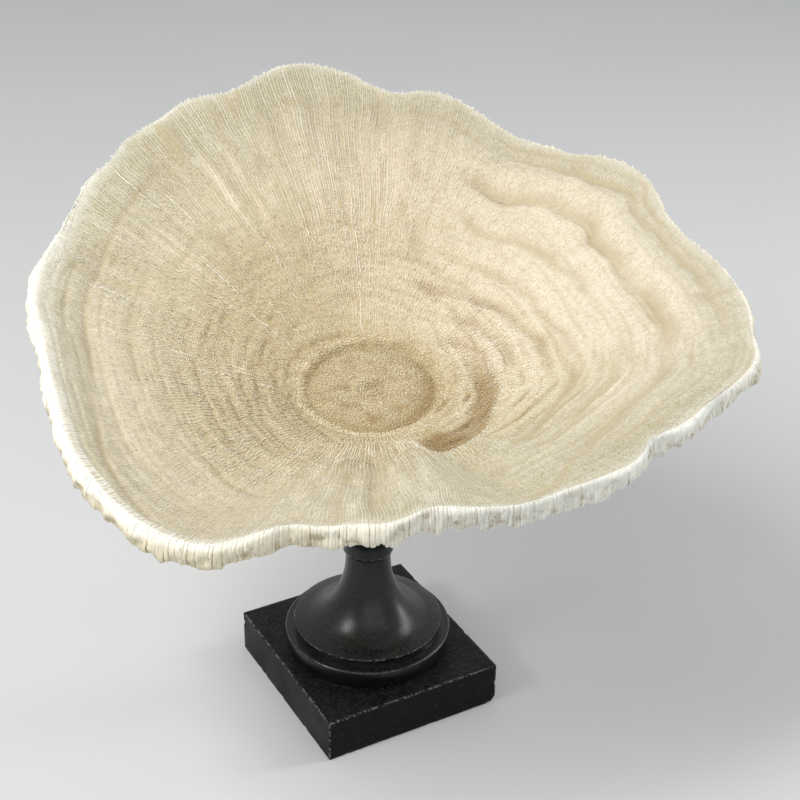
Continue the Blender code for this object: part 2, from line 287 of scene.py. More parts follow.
@dataclass(frozen=True)
class DishForm:
    """The coral's form as a surface over bearing and the way out, over the rim and down to the foot.

    The way along one bearing is -1 at the centre of the floor, 0 at the floor's ledge, 1 at the
    rim's crest, 2 at the foot of the edge, 3 where the stalk starts and 4 at the sawn foot.
    """

    centre: Place = (-0.0035, -0.0070, 0.1800)
    turn: float = radians(-28.5)
    tilt: float = radians(12.0)
    reaches: tuple[float, ...] = (
        0.172, 0.164, 0.164, 0.168, 0.160, 0.168, 0.169, 0.175, 0.165, 0.173, 0.166, 0.161,
        0.158, 0.153, 0.157, 0.168, 0.170, 0.155, 0.145, 0.145, 0.150, 0.157, 0.163, 0.178,
    )
    crests: tuple[float, ...] = (
        0.059, 0.053, 0.056, 0.055, 0.053, 0.061, 0.066, 0.076, 0.071, 0.064, 0.058, 0.056,
        0.057, 0.060, 0.062, 0.059, 0.050, 0.054, 0.058, 0.058, 0.058, 0.057, 0.057, 0.060,
    )
    scallops: Rows = (
        (12, 7, 0.0030), (24, 6, -0.0025), (37, 8, 0.0060), (50, 4, -0.0040), (86, 5, -0.0070),
        (97, 9, 0.0060), (123, 5, 0.0095), (142, 4, -0.0025), (248, 6, 0.0055),
        (258, 4, -0.0030), (274, 5, 0.0050), (321, 4, -0.0050), (350, 5, -0.0035),
    )
    floor_radius: float = 0.0355
    ledge_run: float = 0.0022
    ledge_height: float = 0.0035
    floor_knots: tuple[Pair, ...] = (
        (0.0, -1.3), (1.4, -1.0), (3.2, 0.2), (6.0, 0.5), (9.5, -0.5), (13.0, 0.3), (19.0, 0.4),
        (24.0, 0.2), (27.5, -0.5), (30.2, -1.6), (31.6, -1.2), (33.2, 1.0), (34.6, 2.0),
        (36.0, 2.2), (37.7, 3.5),
    )
    wall_curve: float = 0.20
    step: Step = Step(
        0.040,
        (
            (289, 0.33, 0.0), (295, 0.335, 4.5), (299, 0.325, 9.0), (306, 0.295, 9.0), (315, 0.257, 7.4),
            (330, 0.192, 5.6), (345, 0.147, 4.0), (360, 0.12, 2.6), (378, 0.10, 1.0), (396, 0.08, 0.0),
        ),
    )
    lip: tuple[float, float, float, float] = (200, 40, 0.0060, 0.80)
    folds: Rows = (
        (80, 7, 0.0030, 0.45), (160, 9, -0.0030, 0.50), (266, 7, -0.0025, 0.30),
        (279, 6, 0.0035, 0.25), (295, 7, -0.0030, 0.40), (335, 12, 0.0030, 0.45),
    )
    floor_arcs: tuple[GrowthArc, ...] = (
        GrowthArc(0.9, 0.5, 0.007, ((92, -0.01), (118, 0.0), (140, 0.016), (165, 0.02), (185, 0.015))),
        GrowthArc(1.0, 0.5, 0.008, ((176, 0.015), (205, 0.014), (232, 0.026))),
        GrowthArc(0.35, 0.2, 0.009, ((160, 0.055), (195, 0.075), (236, 0.105))),
        GrowthArc(0.4, 0.2, 0.009, ((60, 0.10), (85, 0.13), (118, 0.12))),
    )
    left_arcs: tuple[GrowthArc, ...] = (
        GrowthArc(0.49, 0.29, 0.010, ((150, 0.115), (190, 0.135), (212, 0.18), (232, 0.22), (254, 0.27))),
        GrowthArc(0.43, 0.23, 0.009, ((168, 0.18), (205, 0.21), (232, 0.25), (250, 0.29))),
        GrowthArc(0.49, 0.46, 0.010, ((150, 0.30), (180, 0.285), (225, 0.295), (262, 0.32))),
        GrowthArc(0.57, 0.11, 0.009, ((160, 0.35), (172, 0.335), (184, 0.33)), 6),
        GrowthArc(0.32, 0.23, 0.013, ((180, 0.365), (205, 0.385), (240, 0.41))),
        GrowthArc(0.29, 0.17, 0.013, ((172, 0.46), (200, 0.455), (232, 0.47))),
        GrowthArc(0.9, 0.40, 0.011, ((222, 0.525), (232, 0.54), (246, 0.60), (262, 0.64), (280, 0.665)), 7),
        GrowthArc(0.36, 0.17, 0.013, ((116, 0.535), (150, 0.54), (185, 0.53), (222, 0.55)), 18),
        GrowthArc(0.6, 0.3, 0.017, ((150, 0.625), (180, 0.61), (215, 0.645)), 18),
        GrowthArc(-0.71, 0, 0.044, ((166, 0.70), (200, 0.72), (232, 0.76)), 16),
        GrowthArc(0.8, 0.35, 0.017, ((128, 0.83), (165, 0.80), (190, 0.795), (210, 0.84)), 18),
        GrowthArc(1.1, 0.52, 0.015, ((202, 0.82), (216, 0.855), (228, 0.90), (243, 0.975))),
        GrowthArc(0.36, 0.23, 0.013, ((150, 0.885), (180, 0.88), (205, 0.91)), 14),
    )
    right_arcs: tuple[GrowthArc, ...] = (
        GrowthArc(0.86, 0.56, 0.016, ((-12, 0.14), (15, 0.13), (30, 0.08), (46, 0.04))),
        GrowthArc(-0.78, 0, 0.023, ((-10, 0.175), (15, 0.165), (32, 0.12), (52, 0.08))),
        GrowthArc(0.78, 0.31, 0.017, ((-8, 0.22), (15, 0.21), (32, 0.17), (52, 0.13))),
        GrowthArc(-1, 0, 0.031, ((-10, 0.275), (15, 0.265), (32, 0.22), (56, 0.17))),
        GrowthArc(1.1, 0.49, 0.021, ((-14, 0.34), (12, 0.32), (30, 0.275), (46, 0.23), (76, 0.205))),
        GrowthArc(0.55, 0.18, 0.016, ((-10, 0.42), (20, 0.385), (50, 0.35), (70, 0.36))),
        GrowthArc(-1.2, 0, 0.091, ((-12, 0.49), (30, 0.47), (58, 0.42))),
        GrowthArc(0.86, 0.31, 0.023, ((12, 0.56), (35, 0.51), (50, 0.49), (68, 0.53))),
        GrowthArc(-1.4, 0, 0.044, ((-14, 0.63), (30, 0.63), (68, 0.62))),
        GrowthArc(
            2.7, 0.49, 0.034, ((-14, 0.70), (0, 0.705), (22, 0.69), (45, 0.70), (56, 0.675), (71, 0.70)), 7
        ),
        GrowthArc(-1.3, 0, 0.058, ((-14, 0.79), (30, 0.785), (66, 0.78))),
        GrowthArc(1.8, 0.35, 0.020, ((-12, 0.885), (15, 0.895), (40, 0.87), (66, 0.885))),
        GrowthArc(0.7, 0.25, 0.013, ((-2, 0.94), (20, 0.93), (44, 0.935), (70, 0.925))),
        GrowthArc(0.62, 0.18, 0.013, ((60, 0.86), (80, 0.89), (93, 0.88))),
        GrowthArc(0.55, 0.18, 0.016, ((56, 0.29), (75, 0.30), (94, 0.28))),
    )
    near_arcs: tuple[GrowthArc, ...] = (
        GrowthArc(1.5, 0.5, 0.028, ((292, 0.98), (302, 0.92), (310, 0.80), (320, 0.725), (352, 0.69))),
        GrowthArc(-0.97, 0, 0.045, ((303, 0.72), (320, 0.645), (352, 0.62))),
        GrowthArc(0.8, 0.3, 0.018, ((306, 0.62), (330, 0.56), (354, 0.52))),
        GrowthArc(1.3, 0.45, 0.020, ((302, 0.53), (318, 0.485), (334, 0.435), (356, 0.385))),
        GrowthArc(-0.62, 0, 0.034, ((306, 0.42), (330, 0.34), (356, 0.275))),
        GrowthArc(0.55, 0.22, 0.014, ((304, 0.05), (325, 0.05), (352, 0.03))),
        GrowthArc(0.9, 0.45, 0.013, ((244, 0.325), (256, 0.34), (270, 0.36), (292, 0.34))),
    )
    swells: Rows = (
        (285, 5.0, 4.2, 0.12, 0.97), (262, 5.5, 4.6, 0.28, 0.97), (247, 4.5, -2.2, 0.45, 0.99),
        (271.5, 2.6, -2.2, 0.20, 0.96), (298, 5.0, -2.6, 0.36, 0.98), (165.5, 4.5, -2.2, 0.52, 0.96),
        (157, 4.0, 1.6, 0.58, 0.93), (175, 5.0, 1.4, 0.50, 0.92), (309, 5.0, 1.6, 0.42, 0.95),
        (322, 6.0, -1.2, 0.60, 0.97), (276, 2.0, 0.8, 0.30, 0.90), (88, 4.0, -1.5, 0.66, 0.99),
        (81, 3.0, 1.0, 0.45, 0.97), (98, 5.0, -1.3, 0.50, 0.97), (75, 3.5, -0.8, 0.22, 0.52),
        (135, 4.0, -1.3, 0.50, 0.98), (146, 4.0, 1.0, 0.50, 0.97), (112, 3.0, -0.9, 0.55, 0.98),
        (148, 5.0, 0.6, 0.35, 0.90),
    )
    seams: tuple[Seam, ...] = (
        Seam(271.5, 0.30, 1.04, 0.5, 1.3),
        Seam(286, 0.66, 1.02, 0.8, 1.4),
        Seam(246, 0.78, 1.02, 0.7, 2.6),
        Seam(88, 0.76, 1.00, 1.2, 1.8),
        Seam(135, 0.52, 1.03, 0.7, 1.3),
        Seam(167, 0.50, 0.97, 1.5, 2.2),
        Seam(161, 0.62, 0.90, 0.8, 1.5),
    )
    pits: tuple[Pit, ...] = (
        Pit(296, 0.55, 5.0, 1.5),
        Pit(291, 0.86, 4.0, 0.9),
        Pit(105, 0.85, 3.5, 0.8),
        Pit(99, 0.55, 2.5, 0.7),
    )
    lip_shift: float = 2.6
    lip_spread: float = 1.7
    rim_inset: float = 0.0009
    thin_edge: tuple[Pair, ...] = (
        (-2.2, 0.0), (-1.3, -0.30), (-0.5, -1.2), (-0.1, -2.6), (0.0, -4.6), (0.0, -6.8),
        (-0.3, -8.8), (-1.2, -10.3), (-2.6, -11.0),
    )
    plump_edge: tuple[Pair, ...] = (
        (-5.4, 0.0), (-3.6, -0.25), (-2.0, -1.1), (-0.8, -2.6), (-0.15, -4.4), (0.0, -6.4),
        (-0.3, -8.4), (-1.1, -10.1), (-2.6, -11.0),
    )
    floor_thickness: float = 0.0140
    stalk_start: float = 0.26
    waist_radius: float = 0.0235
    stalk_rise: float = 0.040
    foot_radius: float = 0.0200
    foot_height: float = 0.0999
    step_shade: tuple[Patch, ...] = (Patch(0.24, 304, 14), Patch(0.24, 342, 24))
    rough_side: Patch = Patch(1.0, 30, 42, 0.35, 0.3)
    line_waves: Rows = ((0.0035, 19, 6, 0.0), (0.0025, 37, 0, 1.3))
    rough_waves: Rows = ((0.011, 27, 0, 0.5), (0.005, 61, 0, 0.0))
    ring_waves: Rows = ((0.5, 2, 0, 1.0), (0.3, 5, 0, 0.4), (0.2, 9, 0, 2.0))
    ring_series: Rows = (
        (0.40, 11.0, 0.8, 0.0), (0.42, 21.0, 1.1, 0.3), (0.34, 34.0, -1.3, 0.1),
    )
    ring_sides: tuple[Patch, ...] = (Patch(0.62, 205, 50), Patch(0.75, 15, 45), Patch(1.4, 322, 24))
    pleat_waves: Rows = ((0.16, 83, 0, 2.0), (0.12, 131, 3, 0.0))
    pleat_sides: tuple[Patch, ...] = (Patch(1.2, 125, 42, 0.15, 0.4), Patch(0.5, 270, 26, 0.1, 0.3))

    def matrix(self) -> Array:
        """Turn from the dish's own frame to the model's."""
        return np.array(Euler((self.tilt, 0.0, self.turn)).to_matrix())

    def wall_start(self) -> float:
        """Reach at which the wall starts, past the floor's ledge."""
        return self.floor_radius + self.ledge_run

    def heading(self, bearing: Array) -> Array:
        """Level unit vectors of the model's frame that point along bearings."""
        turned_by = bearing + self.turn
        return np.stack((np.cos(turned_by), np.sin(turned_by), np.zeros_like(bearing)), axis=-1)

    def scallop(self, bearing: Array) -> Array:
        """How far the rim's scallops stand out from its smooth line."""
        return sum(far * bump(bearing, centre, half_width) for centre, half_width, far in self.scallops)

    def rim_reach(self, bearing: Array) -> Array:
        """Reach of the rim with its scallops."""
        return around(self.reaches, bearing) + self.scallop(bearing)

    def plumpness(self, bearing: Array) -> Array:
        """How round the rim's edge is: 1 on the left, a third at the front, 0 at the far side."""
        left = window(turn_from(bearing, 205), -60, 62, 24)
        return np.maximum(left, 0.16 * ease(0.5 + 0.9 * np.cos(bearing - radians(285))))

    def edge_line(self, share: Array, bearing: Array) -> tuple[Array, Array]:
        """The edge's profile."""
        thin_out, thin_down = stretch(self.thin_edge, share)
        plump_out, plump_down = stretch(self.plump_edge, share)
        plump = self.plumpness(bearing)
        return thin_out + plump * (plump_out - thin_out), thin_down + plump * (plump_down - thin_down)

    def plain_wall(self, place: Array, bearing: Array) -> Array:
        """Height of the wall above the floor, without its ledges.

        Args:
            place: From 0 at the floor's ledge to 1 at the rim.
            bearing: Bearings in radians.

        Returns:
            Heights in the dish's own frame.
        """
        rise = around(self.crests, bearing) - self.ledge_height
        curve = (1 + self.wall_curve) * place - self.wall_curve * place**2
        height = self.ledge_height + rise * curve
        centre, half_width, depth, lip_place = self.lip
        beside = np.where(place > lip_place, (1 - place) / (1 - lip_place), (place / lip_place) ** 2)
        height = height - depth * beside * bump(bearing, centre, half_width)
        for centre, half_width, out, start in self.folds:
            grown = np.maximum(0.0, (place - start) / (1 - start))
            height = height + out * grown * bump(bearing, centre, half_width)
        return height

    def step_relief(self, place: Array, bearing: Array) -> tuple[Array, Array]:
        """Height and hollowness of the sunken step, whose riser stands under the near wall's lip.

        Args:
            place: From 0 at the floor's ledge to 1 at the rim.
            bearing: Bearings in radians.

        Returns:
            Heights to add, and a mask from 0 to 1 that is strongest at the riser's foot.
        """
        _, foot, sunk = along_line(self.step.line, bearing)
        tread = ease((place / foot - 0.30) / 0.70)
        riser = 1 - ease((place - foot) / self.step.riser)
        inner = ease((place / foot - 0.50 + 0.22 * bump(bearing, 301, 11)) / 0.26)
        mask = np.where(place < foot, inner, riser) * np.clip(sunk / 3, 0, 1)
        mask = mask * (0.60 + patchwork(self.step_shade, place, bearing))
        return -MM * sunk * np.where(place < foot, tread, riser), mask

    def arc_relief(self, place: Array, bearing: Array) -> tuple[Array, Array, Array]:
        """Height and hollowness that the growth lines, seams and pits add, and where rolls stand.

        Args:
            place: From 0 at the floor's ledge to 1 at the rim.
            bearing: Bearings in radians.

        Returns:
            Heights to add, and masks from 0 to 1 of the hollows and the rolls.
        """
        relief, hollow, rolls = (np.zeros_like(place) for _ in range(3))
        rough = self.rough_side.at(place, bearing)
        wander = waves(self.line_waves, bearing, place) - 0.028 * rough
        wander = wander + rough * waves(self.rough_waves, bearing, place)
        shown = 0.66 + 0.34 * ease((place - 0.30) / 0.20)
        for arc in self.floor_arcs + self.left_arcs + self.right_arcs + self.near_arcs:
            here, line_place = along_line(arc.line, bearing)
            off = place + wander - line_place
            (first, first_place), (last, _) = arc.line[0], arc.line[-1]
            share = window(here, first, last, arc.fade)
            share = share * (0.82 + 0.18 * np.sin(bearing * 13 + 55 * first_place))
            groove = share * hill(off, arc.half_width)
            lip = share * hill(off - self.lip_shift * arc.half_width, self.lip_spread * arc.half_width)
            relief = relief + MM * (arc.lip * lip - arc.depth * groove)
            hollow = np.maximum(hollow, groove * min(0.35 + 0.5 * arc.depth, 0.95) * shown * (arc.depth > 0))
            rolls = np.maximum(rolls, groove * (arc.depth < 0))
        for seam in self.seams:
            share = window(place, seam.start, seam.end, 0.08) * bump(bearing, seam.bearing, seam.half_width)
            relief = relief - MM * seam.depth * share
            hollow = np.maximum(hollow, min(1.0, 0.42 * seam.depth) * share)
        for centre, half_width, rise, start, end in self.swells:
            share = window(place, start, end, 0.16) * bump(bearing, centre, half_width)
            relief = relief + MM * rise * share
            hollow = np.maximum(hollow, 0.35 * share * (rise < 0))
        for pit in self.pits:
            away = np.radians(turn_from(bearing, pit.bearing)) * 100.0
            up = (place - pit.place) * 130.0
            share = np.exp(-(away**2 + up**2) / pit.radius**2)
            relief = relief - MM * pit.depth * share
            hollow = np.maximum(hollow, 0.8 * share)
        return relief, hollow, rolls

    def rings(self, place: Array, bearing: Array) -> Array:
        """Uneven growth rings from -1 in a fine groove to 0.6 between: clearest on the left."""
        wander = waves(self.ring_waves, bearing, place)
        found = np.zeros_like(place)
        for share, count, sway, start in self.ring_series:
            wave = 0.5 - 0.5 * np.sin(tau * (place * count + sway * wander + start))
            found = found + share * (0.6 - 1.6 * wave**2.5)
        places = np.stack((0.007 * np.cos(bearing), 0.007 * np.sin(bearing), 0.14 * place), axis=-1)
        found = 0.75 * found + (0.22 + 0.14 * bump(bearing, 325, 30)) * LINES.at(places)
        low = 0.25 * (1 - ease((place - 0.35) / 0.15))
        return found * np.clip(0.18 + low + patchwork(self.ring_sides, place, bearing), 0.0, 1.5)

    def pleats(self, place: Array, bearing: Array) -> Array:
        """Low radial pleats across the far wall and near the rim."""
        fan = 0.22 * np.sin(bearing * 46 + 1.2 * np.sin(place * 5))
        fan = fan + waves(self.pleat_waves, bearing, place)
        strength = 0.45 * ease((place - 0.5) / 0.4) + patchwork(self.pleat_sides, place, bearing)
        return MM * fan * strength


FORM = DishForm()
LUMPS = Ripple(11, 0.030)
DIMPLES = Ripple(12, 0.009)
LOBES = Ripple(13, 0.0075)
FOLDS = Ripple(21, 0.010)
FIBRES = Ripple(22, 0.0034)
LINES = Ripple(23, 0.0042)
NICKS = Ripple(31, 0.006)
WEAR = Ripple(32, 0.02)
CHIPS = Ripple(33, 0.003)
BUNCHES = Ripple(41, 0.0085)


@dataclass
class Skin:
    """Reads places, normals and masks on the coral's surface."""

    form: DishForm = FORM
    # Painted shade: patches that darken stretches of the far-left, left and near walls through the hollow
    # mask.
    shaded: tuple[Patch, ...] = (
        Patch(0.20, 132, 36, 0.0, 0.15, 0.6),
        Patch(0.22, 241, 8, 0.66, 0.08, 0.99),
        Patch(0.17, 195, 42, 0.0, 0.15, 0.92),
        Patch(0.22, 299, 10, 0.02, 0.08, 0.34),
    )
    worn: tuple[Patch, ...] = (
        Patch(0.90, 8, 56, 0.12, 0.35), Patch(0.68, 292, 42, 0.25, 0.35), Patch(0.62, 205, 42, 0.42, 0.35),
    )
    streaked: tuple[Patch, ...] = (
        Patch(1.0, 122, 46, 0.22, 0.3), Patch(1.2, 270, 26, 0.0, 0.2),
        Patch(1.1, 356, 13, 0.80, 0.08), Patch(0.35, 205, 45, 0.4, 0.4),
    )
    # Painted light: a near-white tint over the right wall, which the key lamp lights, and over the far wall,
    # where it lifts the shade of the taller blades.
    bleach_and_painted_light: tuple[Patch, ...] = (Patch(1.0, 40, 54), Patch(0.40, 92, 24))
    # Pale grey tint: painted shade over the upper far-left wall, and a grey-white colour on the near wall and
    # its lip.
    greyed: tuple[Patch, ...] = (
        Patch(0.9, 300, 42, 0.15, 0.35), Patch(0.8, 125, 50, 0.5, 0.4), Patch(0.6, 318, 24, 0.80, 0.12),
    )

    def dish_to_model(self, reach: Array, height: Array, bearing: Array) -> Array:
        """Places in the model's frame from reach, height and bearing in the dish's own frame."""
        local = np.stack((reach * np.cos(bearing), reach * np.sin(bearing), height), axis=-1)
        return local @ self.form.matrix().T + np.array(self.form.centre)

    def wall(self, place: Array, bearing: Array, fine: bool = True) -> Array:
        """Places on the inner wall.

        Args:
            place: From 0 at the floor's ledge to 1 at the rim.
            bearing: Bearings in radians.
            fine: Whether the ledges and the relief are added.

        Returns:
            Places in the model's frame.
        """
        form = self.form
        start = form.wall_start()
        inset = form.rim_inset - form.edge_line(np.zeros_like(bearing), bearing)[0]
        reach = start + (around(form.reaches, bearing) - start) * place
        reach = reach + (form.scallop(bearing) - inset) * place**5
        height = form.plain_wall(place, bearing)
        if fine:
            inside = window(place, -0.001, 1.001, 0.04)
            plain = self.dish_to_model(reach, height, bearing)
            lumps = MM * (0.26 * LUMPS.at(plain) + 0.13 * DIMPLES.at(plain))
            height = height + form.arc_relief(place, bearing)[0] + form.step_relief(place, bearing)[0]
            rings = 0.55 * MM * form.rings(place, bearing) + form.pleats(place, bearing)
            height = height + inside * (rings + lumps)
        return self.dish_to_model(reach, height, bearing)

    def floor(self, share: Array, bearing: Array) -> Array:
        """Places on the floor, from share 0 at its centre to 1 at its ledge."""
        form = self.form
        reach = form.wall_start() * share
        radii = [knot[0] * MM for knot in form.floor_knots]
        heights = np.array([knot[1] * MM for knot in form.floor_knots])
        wobble = 1 + 0.012 * np.sin(bearing * 3 + 0.7) + 0.010 * np.sin(bearing * 5) - 0.075 * np.cos(bearing)
        height = np.interp(reach * (1 + (wobble - 1) * share * (1 - share) * 4), radii, heights)
        edge = np.zeros_like(share)
        arcs = form.arc_relief(edge, bearing)[0] * ease((share - 0.94) / 0.06)
        swirl = hill(reach / MM - 9.5, 3.0) * bump(bearing, 235, 60)
        height = height - 0.7 * MM * swirl
        plain = self.dish_to_model(reach, height, bearing)
        inside = 1 - ease((share - 0.88) / 0.1)
        lumps = MM * inside * (0.28 * LUMPS.at(plain) + 0.16 * DIMPLES.at(plain))
        return self.dish_to_model(reach, height + arcs + lumps, bearing)

    def edge(self, share: Array, bearing: Array) -> Array:
        """Places on the rim's edge, from share 0 at the crest to 1 at the edge's foot."""
        form = self.form
        out, down = form.edge_line(share, bearing)
        crest = form.plain_wall(np.ones_like(bearing), bearing)
        reach = form.rim_reach(bearing) - form.rim_inset + out
        plain = self.dish_to_model(reach, crest + down, bearing)
        level = np.clip(share, 0, 1)
        lobes = 0.8 * LOBES.at(plain) * ease((level - 0.25) / 0.5)
        uneven = MM * (0.5 * LUMPS.at(plain) + lobes - 0.9) * np.sin(pi * level) ** 0.7
        drop = MM * 0.7 * LOBES.at(plain) * ease((level - 0.5) / 0.4) * (share < 1)
        return self.dish_to_model(reach + uneven, crest + down - drop, bearing)

    def underside(self, share: Array, bearing: Array) -> Array:
        """Places under the dish, from share 0 at the edge's foot to 1 where the stalk starts."""
        form = self.form
        out, down = (knot * MM for knot in form.thin_edge[-1])
        near = 1 - share
        smooth = around(form.reaches, bearing)
        start = form.floor_radius + (smooth - form.floor_radius) * form.stalk_start
        reach = start + (smooth - form.rim_inset + out - start) * near + form.scallop(bearing) * near**5
        place = form.stalk_start + (1 - form.stalk_start) * near
        thickness = form.floor_thickness + (-down - form.floor_thickness) * place
        height = form.plain_wall(place, bearing) - thickness
        bands = 0.35 * np.sin(tau * (place * 8 + 0.3 * np.sin(bearing * 2))) + 0.2 * np.sin(tau * place * 19)
        plain = self.dish_to_model(reach, height, bearing)
        inside = np.sin(pi * np.clip(share, 0, 1))
        relief = MM * inside * (bands + 0.6 * LUMPS.at(plain) + 0.2 * DIMPLES.at(plain))
        return self.dish_to_model(reach, height - relief, bearing)

    def stalk(self, share: Array, bearing: Array) -> Array:
        """Places down the stalk, from share 0 under the dish to 1 at the sawn foot."""
        form = self.form
        start = self.underside(np.ones_like(bearing), bearing)
        heading = form.heading(bearing)
        foot = heading * form.foot_radius + np.array((0.0, 0.0, form.foot_height))
        waist = heading * form.waist_radius
        waist = waist + np.array((0.0, 0.0, form.foot_height + form.stalk_rise))
        t = np.clip(share, 0.0, 1.0)[..., None]
        place = start * (1 - t) ** 2 + waist * 2 * t * (1 - t) + foot * t**2
        swell = MM * 0.8 * LUMPS.at(place) * np.sin(pi * np.clip(share, 0, 1)) - 0.1 * MM
        return place + heading * swell[..., None]

    def at(self, along: Array, bearing: Array) -> Array:
        """Places anywhere on the coral.

        Args:
            along: The way out along a bearing, as DishForm says.
            bearing: Bearings in radians, of the same shape.

        Returns:
            Places in the model's frame, with x, y, z on the last axis.
        """
        along, bearing = np.broadcast_arrays(np.asarray(along, float), np.asarray(bearing, float))
        found = np.zeros(along.shape + (3,))
        zones = (
            (along < 0, self.floor, 1.0),
            ((along >= 0) & (along < 1), self.wall, 0.0),
            ((along >= 1) & (along < 2), self.edge, -1.0),
            ((along >= 2) & (along < 3), self.underside, -2.0),
            (along >= 3, self.stalk, -3.0),
        )
        for here, zone, shift in zones:
            if here.any():
                found[here] = zone(along[here] + shift, bearing[here])
        return found

    def frame_at(self, along: Array, bearing: Array) -> tuple[Array, Array, Array]:
        """Places, sideways directions and outward normals.

        Args:
            along: The way out along a bearing.
            bearing: Bearings in radians, of the same shape.

        Returns:
            Places, unit vectors towards greater bearings, and unit normals.
        """
        step = 0.004
        turn = 0.003
        place = self.at(along, bearing)
        ahead = self.at(along + step, bearing) - self.at(along - step, bearing)
        beside = self.at(along, bearing + turn) - self.at(along, bearing - turn)
        normal = np.cross(ahead, beside)
        normal /= np.linalg.norm(normal, axis=-1, keepdims=True) + 1e-12
        beside /= np.linalg.norm(beside, axis=-1, keepdims=True) + 1e-12
        return place, beside, normal

    def hollow(self, along: Array, bearing: Array) -> Array:
        """Mask from 0 to 1 of the grooves, seams, pits and step, where dust and tan stains lie and where
        shade is painted; the shaded patches add painted shade over broad stretches of the wall.
        """
        place = np.clip(along, 0.0, 1.0)
        found = (0.85 + 0.15 * bump(bearing, 20, 50)) * self.form.arc_relief(place, bearing)[1]
        found = np.maximum(found, 0.50 * np.maximum(0.0, -self.form.rings(place, bearing)))
        found = np.maximum(found, self.form.step_relief(place, bearing)[1])
        right_side = 0.35 + 0.65 * bump(bearing, 345, 70)
        ring = right_side * hill(along + 0.20 + 0.04 * right_side, 0.04 + 0.09 * right_side)
        pit = hill(along + 1.0, 0.06)
        found = found + patchwork(self.shaded, along, bearing)
        found = np.maximum(found, 0.42 * np.maximum(0.0, -self.streaks(along, bearing)) * (along < 1.0))
        reach = self.form.floor_radius * (1 + along)
        clouds = FOLDS.at(np.stack((reach * np.cos(bearing), reach * np.sin(bearing), 0 * reach), axis=-1))
        floor = np.maximum(np.maximum(0.75 * ring, 0.7 * pit), 0.28 * clouds)
        found = np.where(along < -0.05, floor, found)
        return np.where(along > 1.02, 0.0, found)

    def wornness(self, along: Array, bearing: Array) -> Array:
        """How far the beads are worn down: most on the right wall and up the near wall."""
        return np.clip(patchwork(self.worn, along, bearing), 0.0, 0.91)

    def streaks(self, along: Array, bearing: Array) -> Array:
        """Radial streaks from -1 to 1, strongest across the far wall and up the near wall."""
        places = np.stack((0.15 * np.cos(bearing), 0.15 * np.sin(bearing), 0.022 * along), axis=-1)
        found = 0.50 * FOLDS.at(places) + 0.62 * FIBRES.at(places)
        return found * np.clip(patchwork(self.streaked, along, bearing), 0, 1)

    def tone_way(self, along: Array, bearing: Array) -> Array:
        """The way out as the colour follows it: the rim is widest and whitest on the left, partly as painted
        light on the brightly lit left lip.
        """
        # Painted light, in part: the rim's white band reaches further in and further down the edge on the
        # left, less so near bearing 338.
        later = 0.06 * (1 - bump(bearing, 180, 42)) * window(along, 0.86, 1.06, 0.06)
        sooner = 0.55 * (1 - bump(bearing, 200, 48)) * (1 - 0.6 * bump(bearing, 338, 25))
        sooner = sooner * ease((along - 0.99) / 0.08)
        sooner = np.maximum(sooner, 0.55 * ease((along - 2.02) / 0.08))
        return along - later + sooner

    def light_and_shade_tint(self, along: Array, bearing: Array) -> Array:
        """Tint from -1, a pale grey that is partly painted shade, to 1, a near-white that paints light on the
        lit right and far walls and lightens the rolls, ridges and streaks.
        """
        place = np.clip(along, 0.0, 1.0)
        rolls = self.form.arc_relief(place, bearing)[2]
        ridges = np.maximum(0.0, self.form.rings(place, bearing))
        # The near-white patches paint light on the right and far walls; the rolls and ridges are lighter too.
        wall = 0.95 * np.minimum(1.0, patchwork(self.bleach_and_painted_light, along, bearing)) + 0.45 * rolls + 0.35 * ridges
        light = 0.55 * np.maximum(0.0, self.streaks(along, bearing)) * window(along, 0.1, 0.98, 0.1)
        light = light + wall * window(along, -0.06, 0.92, 0.16)
        return np.clip(light - patchwork(self.greyed, along, bearing), -1.0, 1.0)

    def masks(self, along: Array, bearing: Array, crest: Array) -> dict[str, Array]:
        """Every mask that the finish reads, by name, from flat arrays."""
        return {
            "along": self.tone_way(along, bearing),
            # The crest mark drives the painted highlight on tops and the painted shade at feet.
            "crest": crest,
            "hollow": self.hollow(along, bearing),
            "light_and_shade_tint": self.light_and_shade_tint(along, bearing),
        }


def in_scene(name: str, data: ID) -> Object:
    """Adds an object with the given data to the scene."""
    made = bpy.data.objects.new(name, data)
    bpy.context.scene.collection.objects.link(made)
    return made


def mesh_object(name: str, places: Array, faces: Sequence[Array], attributes: dict[str, Array]) -> Object:
    """Makes a mesh object from arrays.

    Args:
        name: Name of the object.
        places: Vertex places, one row each.
        faces: Arrays of faces, each with the same number of corners in every row.
        attributes: Values for each vertex, by name.

    Returns:
        The object, at the origin, smooth shaded and in the scene.
    """
    mesh = bpy.data.meshes.new(name)
    corners = np.concatenate([face.reshape(-1) for face in faces]).astype(np.int32)
    sizes = np.concatenate([np.full(len(face), face.shape[1]) for face in faces])
    starts = np.concatenate(([0], np.cumsum(sizes)[:-1])).astype(np.int32)
    mesh.vertices.add(len(places))
    mesh.vertices.foreach_set("co", places.astype(np.float32).ravel())
    mesh.loops.add(len(corners))
    mesh.loops.foreach_set("vertex_index", corners)
    mesh.polygons.add(len(starts))
    mesh.polygons.foreach_set("loop_start", starts)
    mesh.update(calc_edges=True)
    mesh.shade_smooth()
    for title, values in attributes.items():
        layer = mesh.attributes.new(title, "FLOAT", "POINT")
        layer.data.foreach_set("value", values.astype(np.float32).ravel())
    return in_scene(name, mesh)


def settle(piece: Object, finish: Material, slot: Slot, node: str) -> None:
    """Dresses a piece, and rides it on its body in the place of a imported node."""
    piece.data.materials.clear()
    piece.data.materials.append(finish)
    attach(piece, BODY)
    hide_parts(node)
    triangles = sum(len(face.vertices) - 2 for face in piece.data.polygons)
    LOG.info("%s: %d triangles", piece.name, triangles)


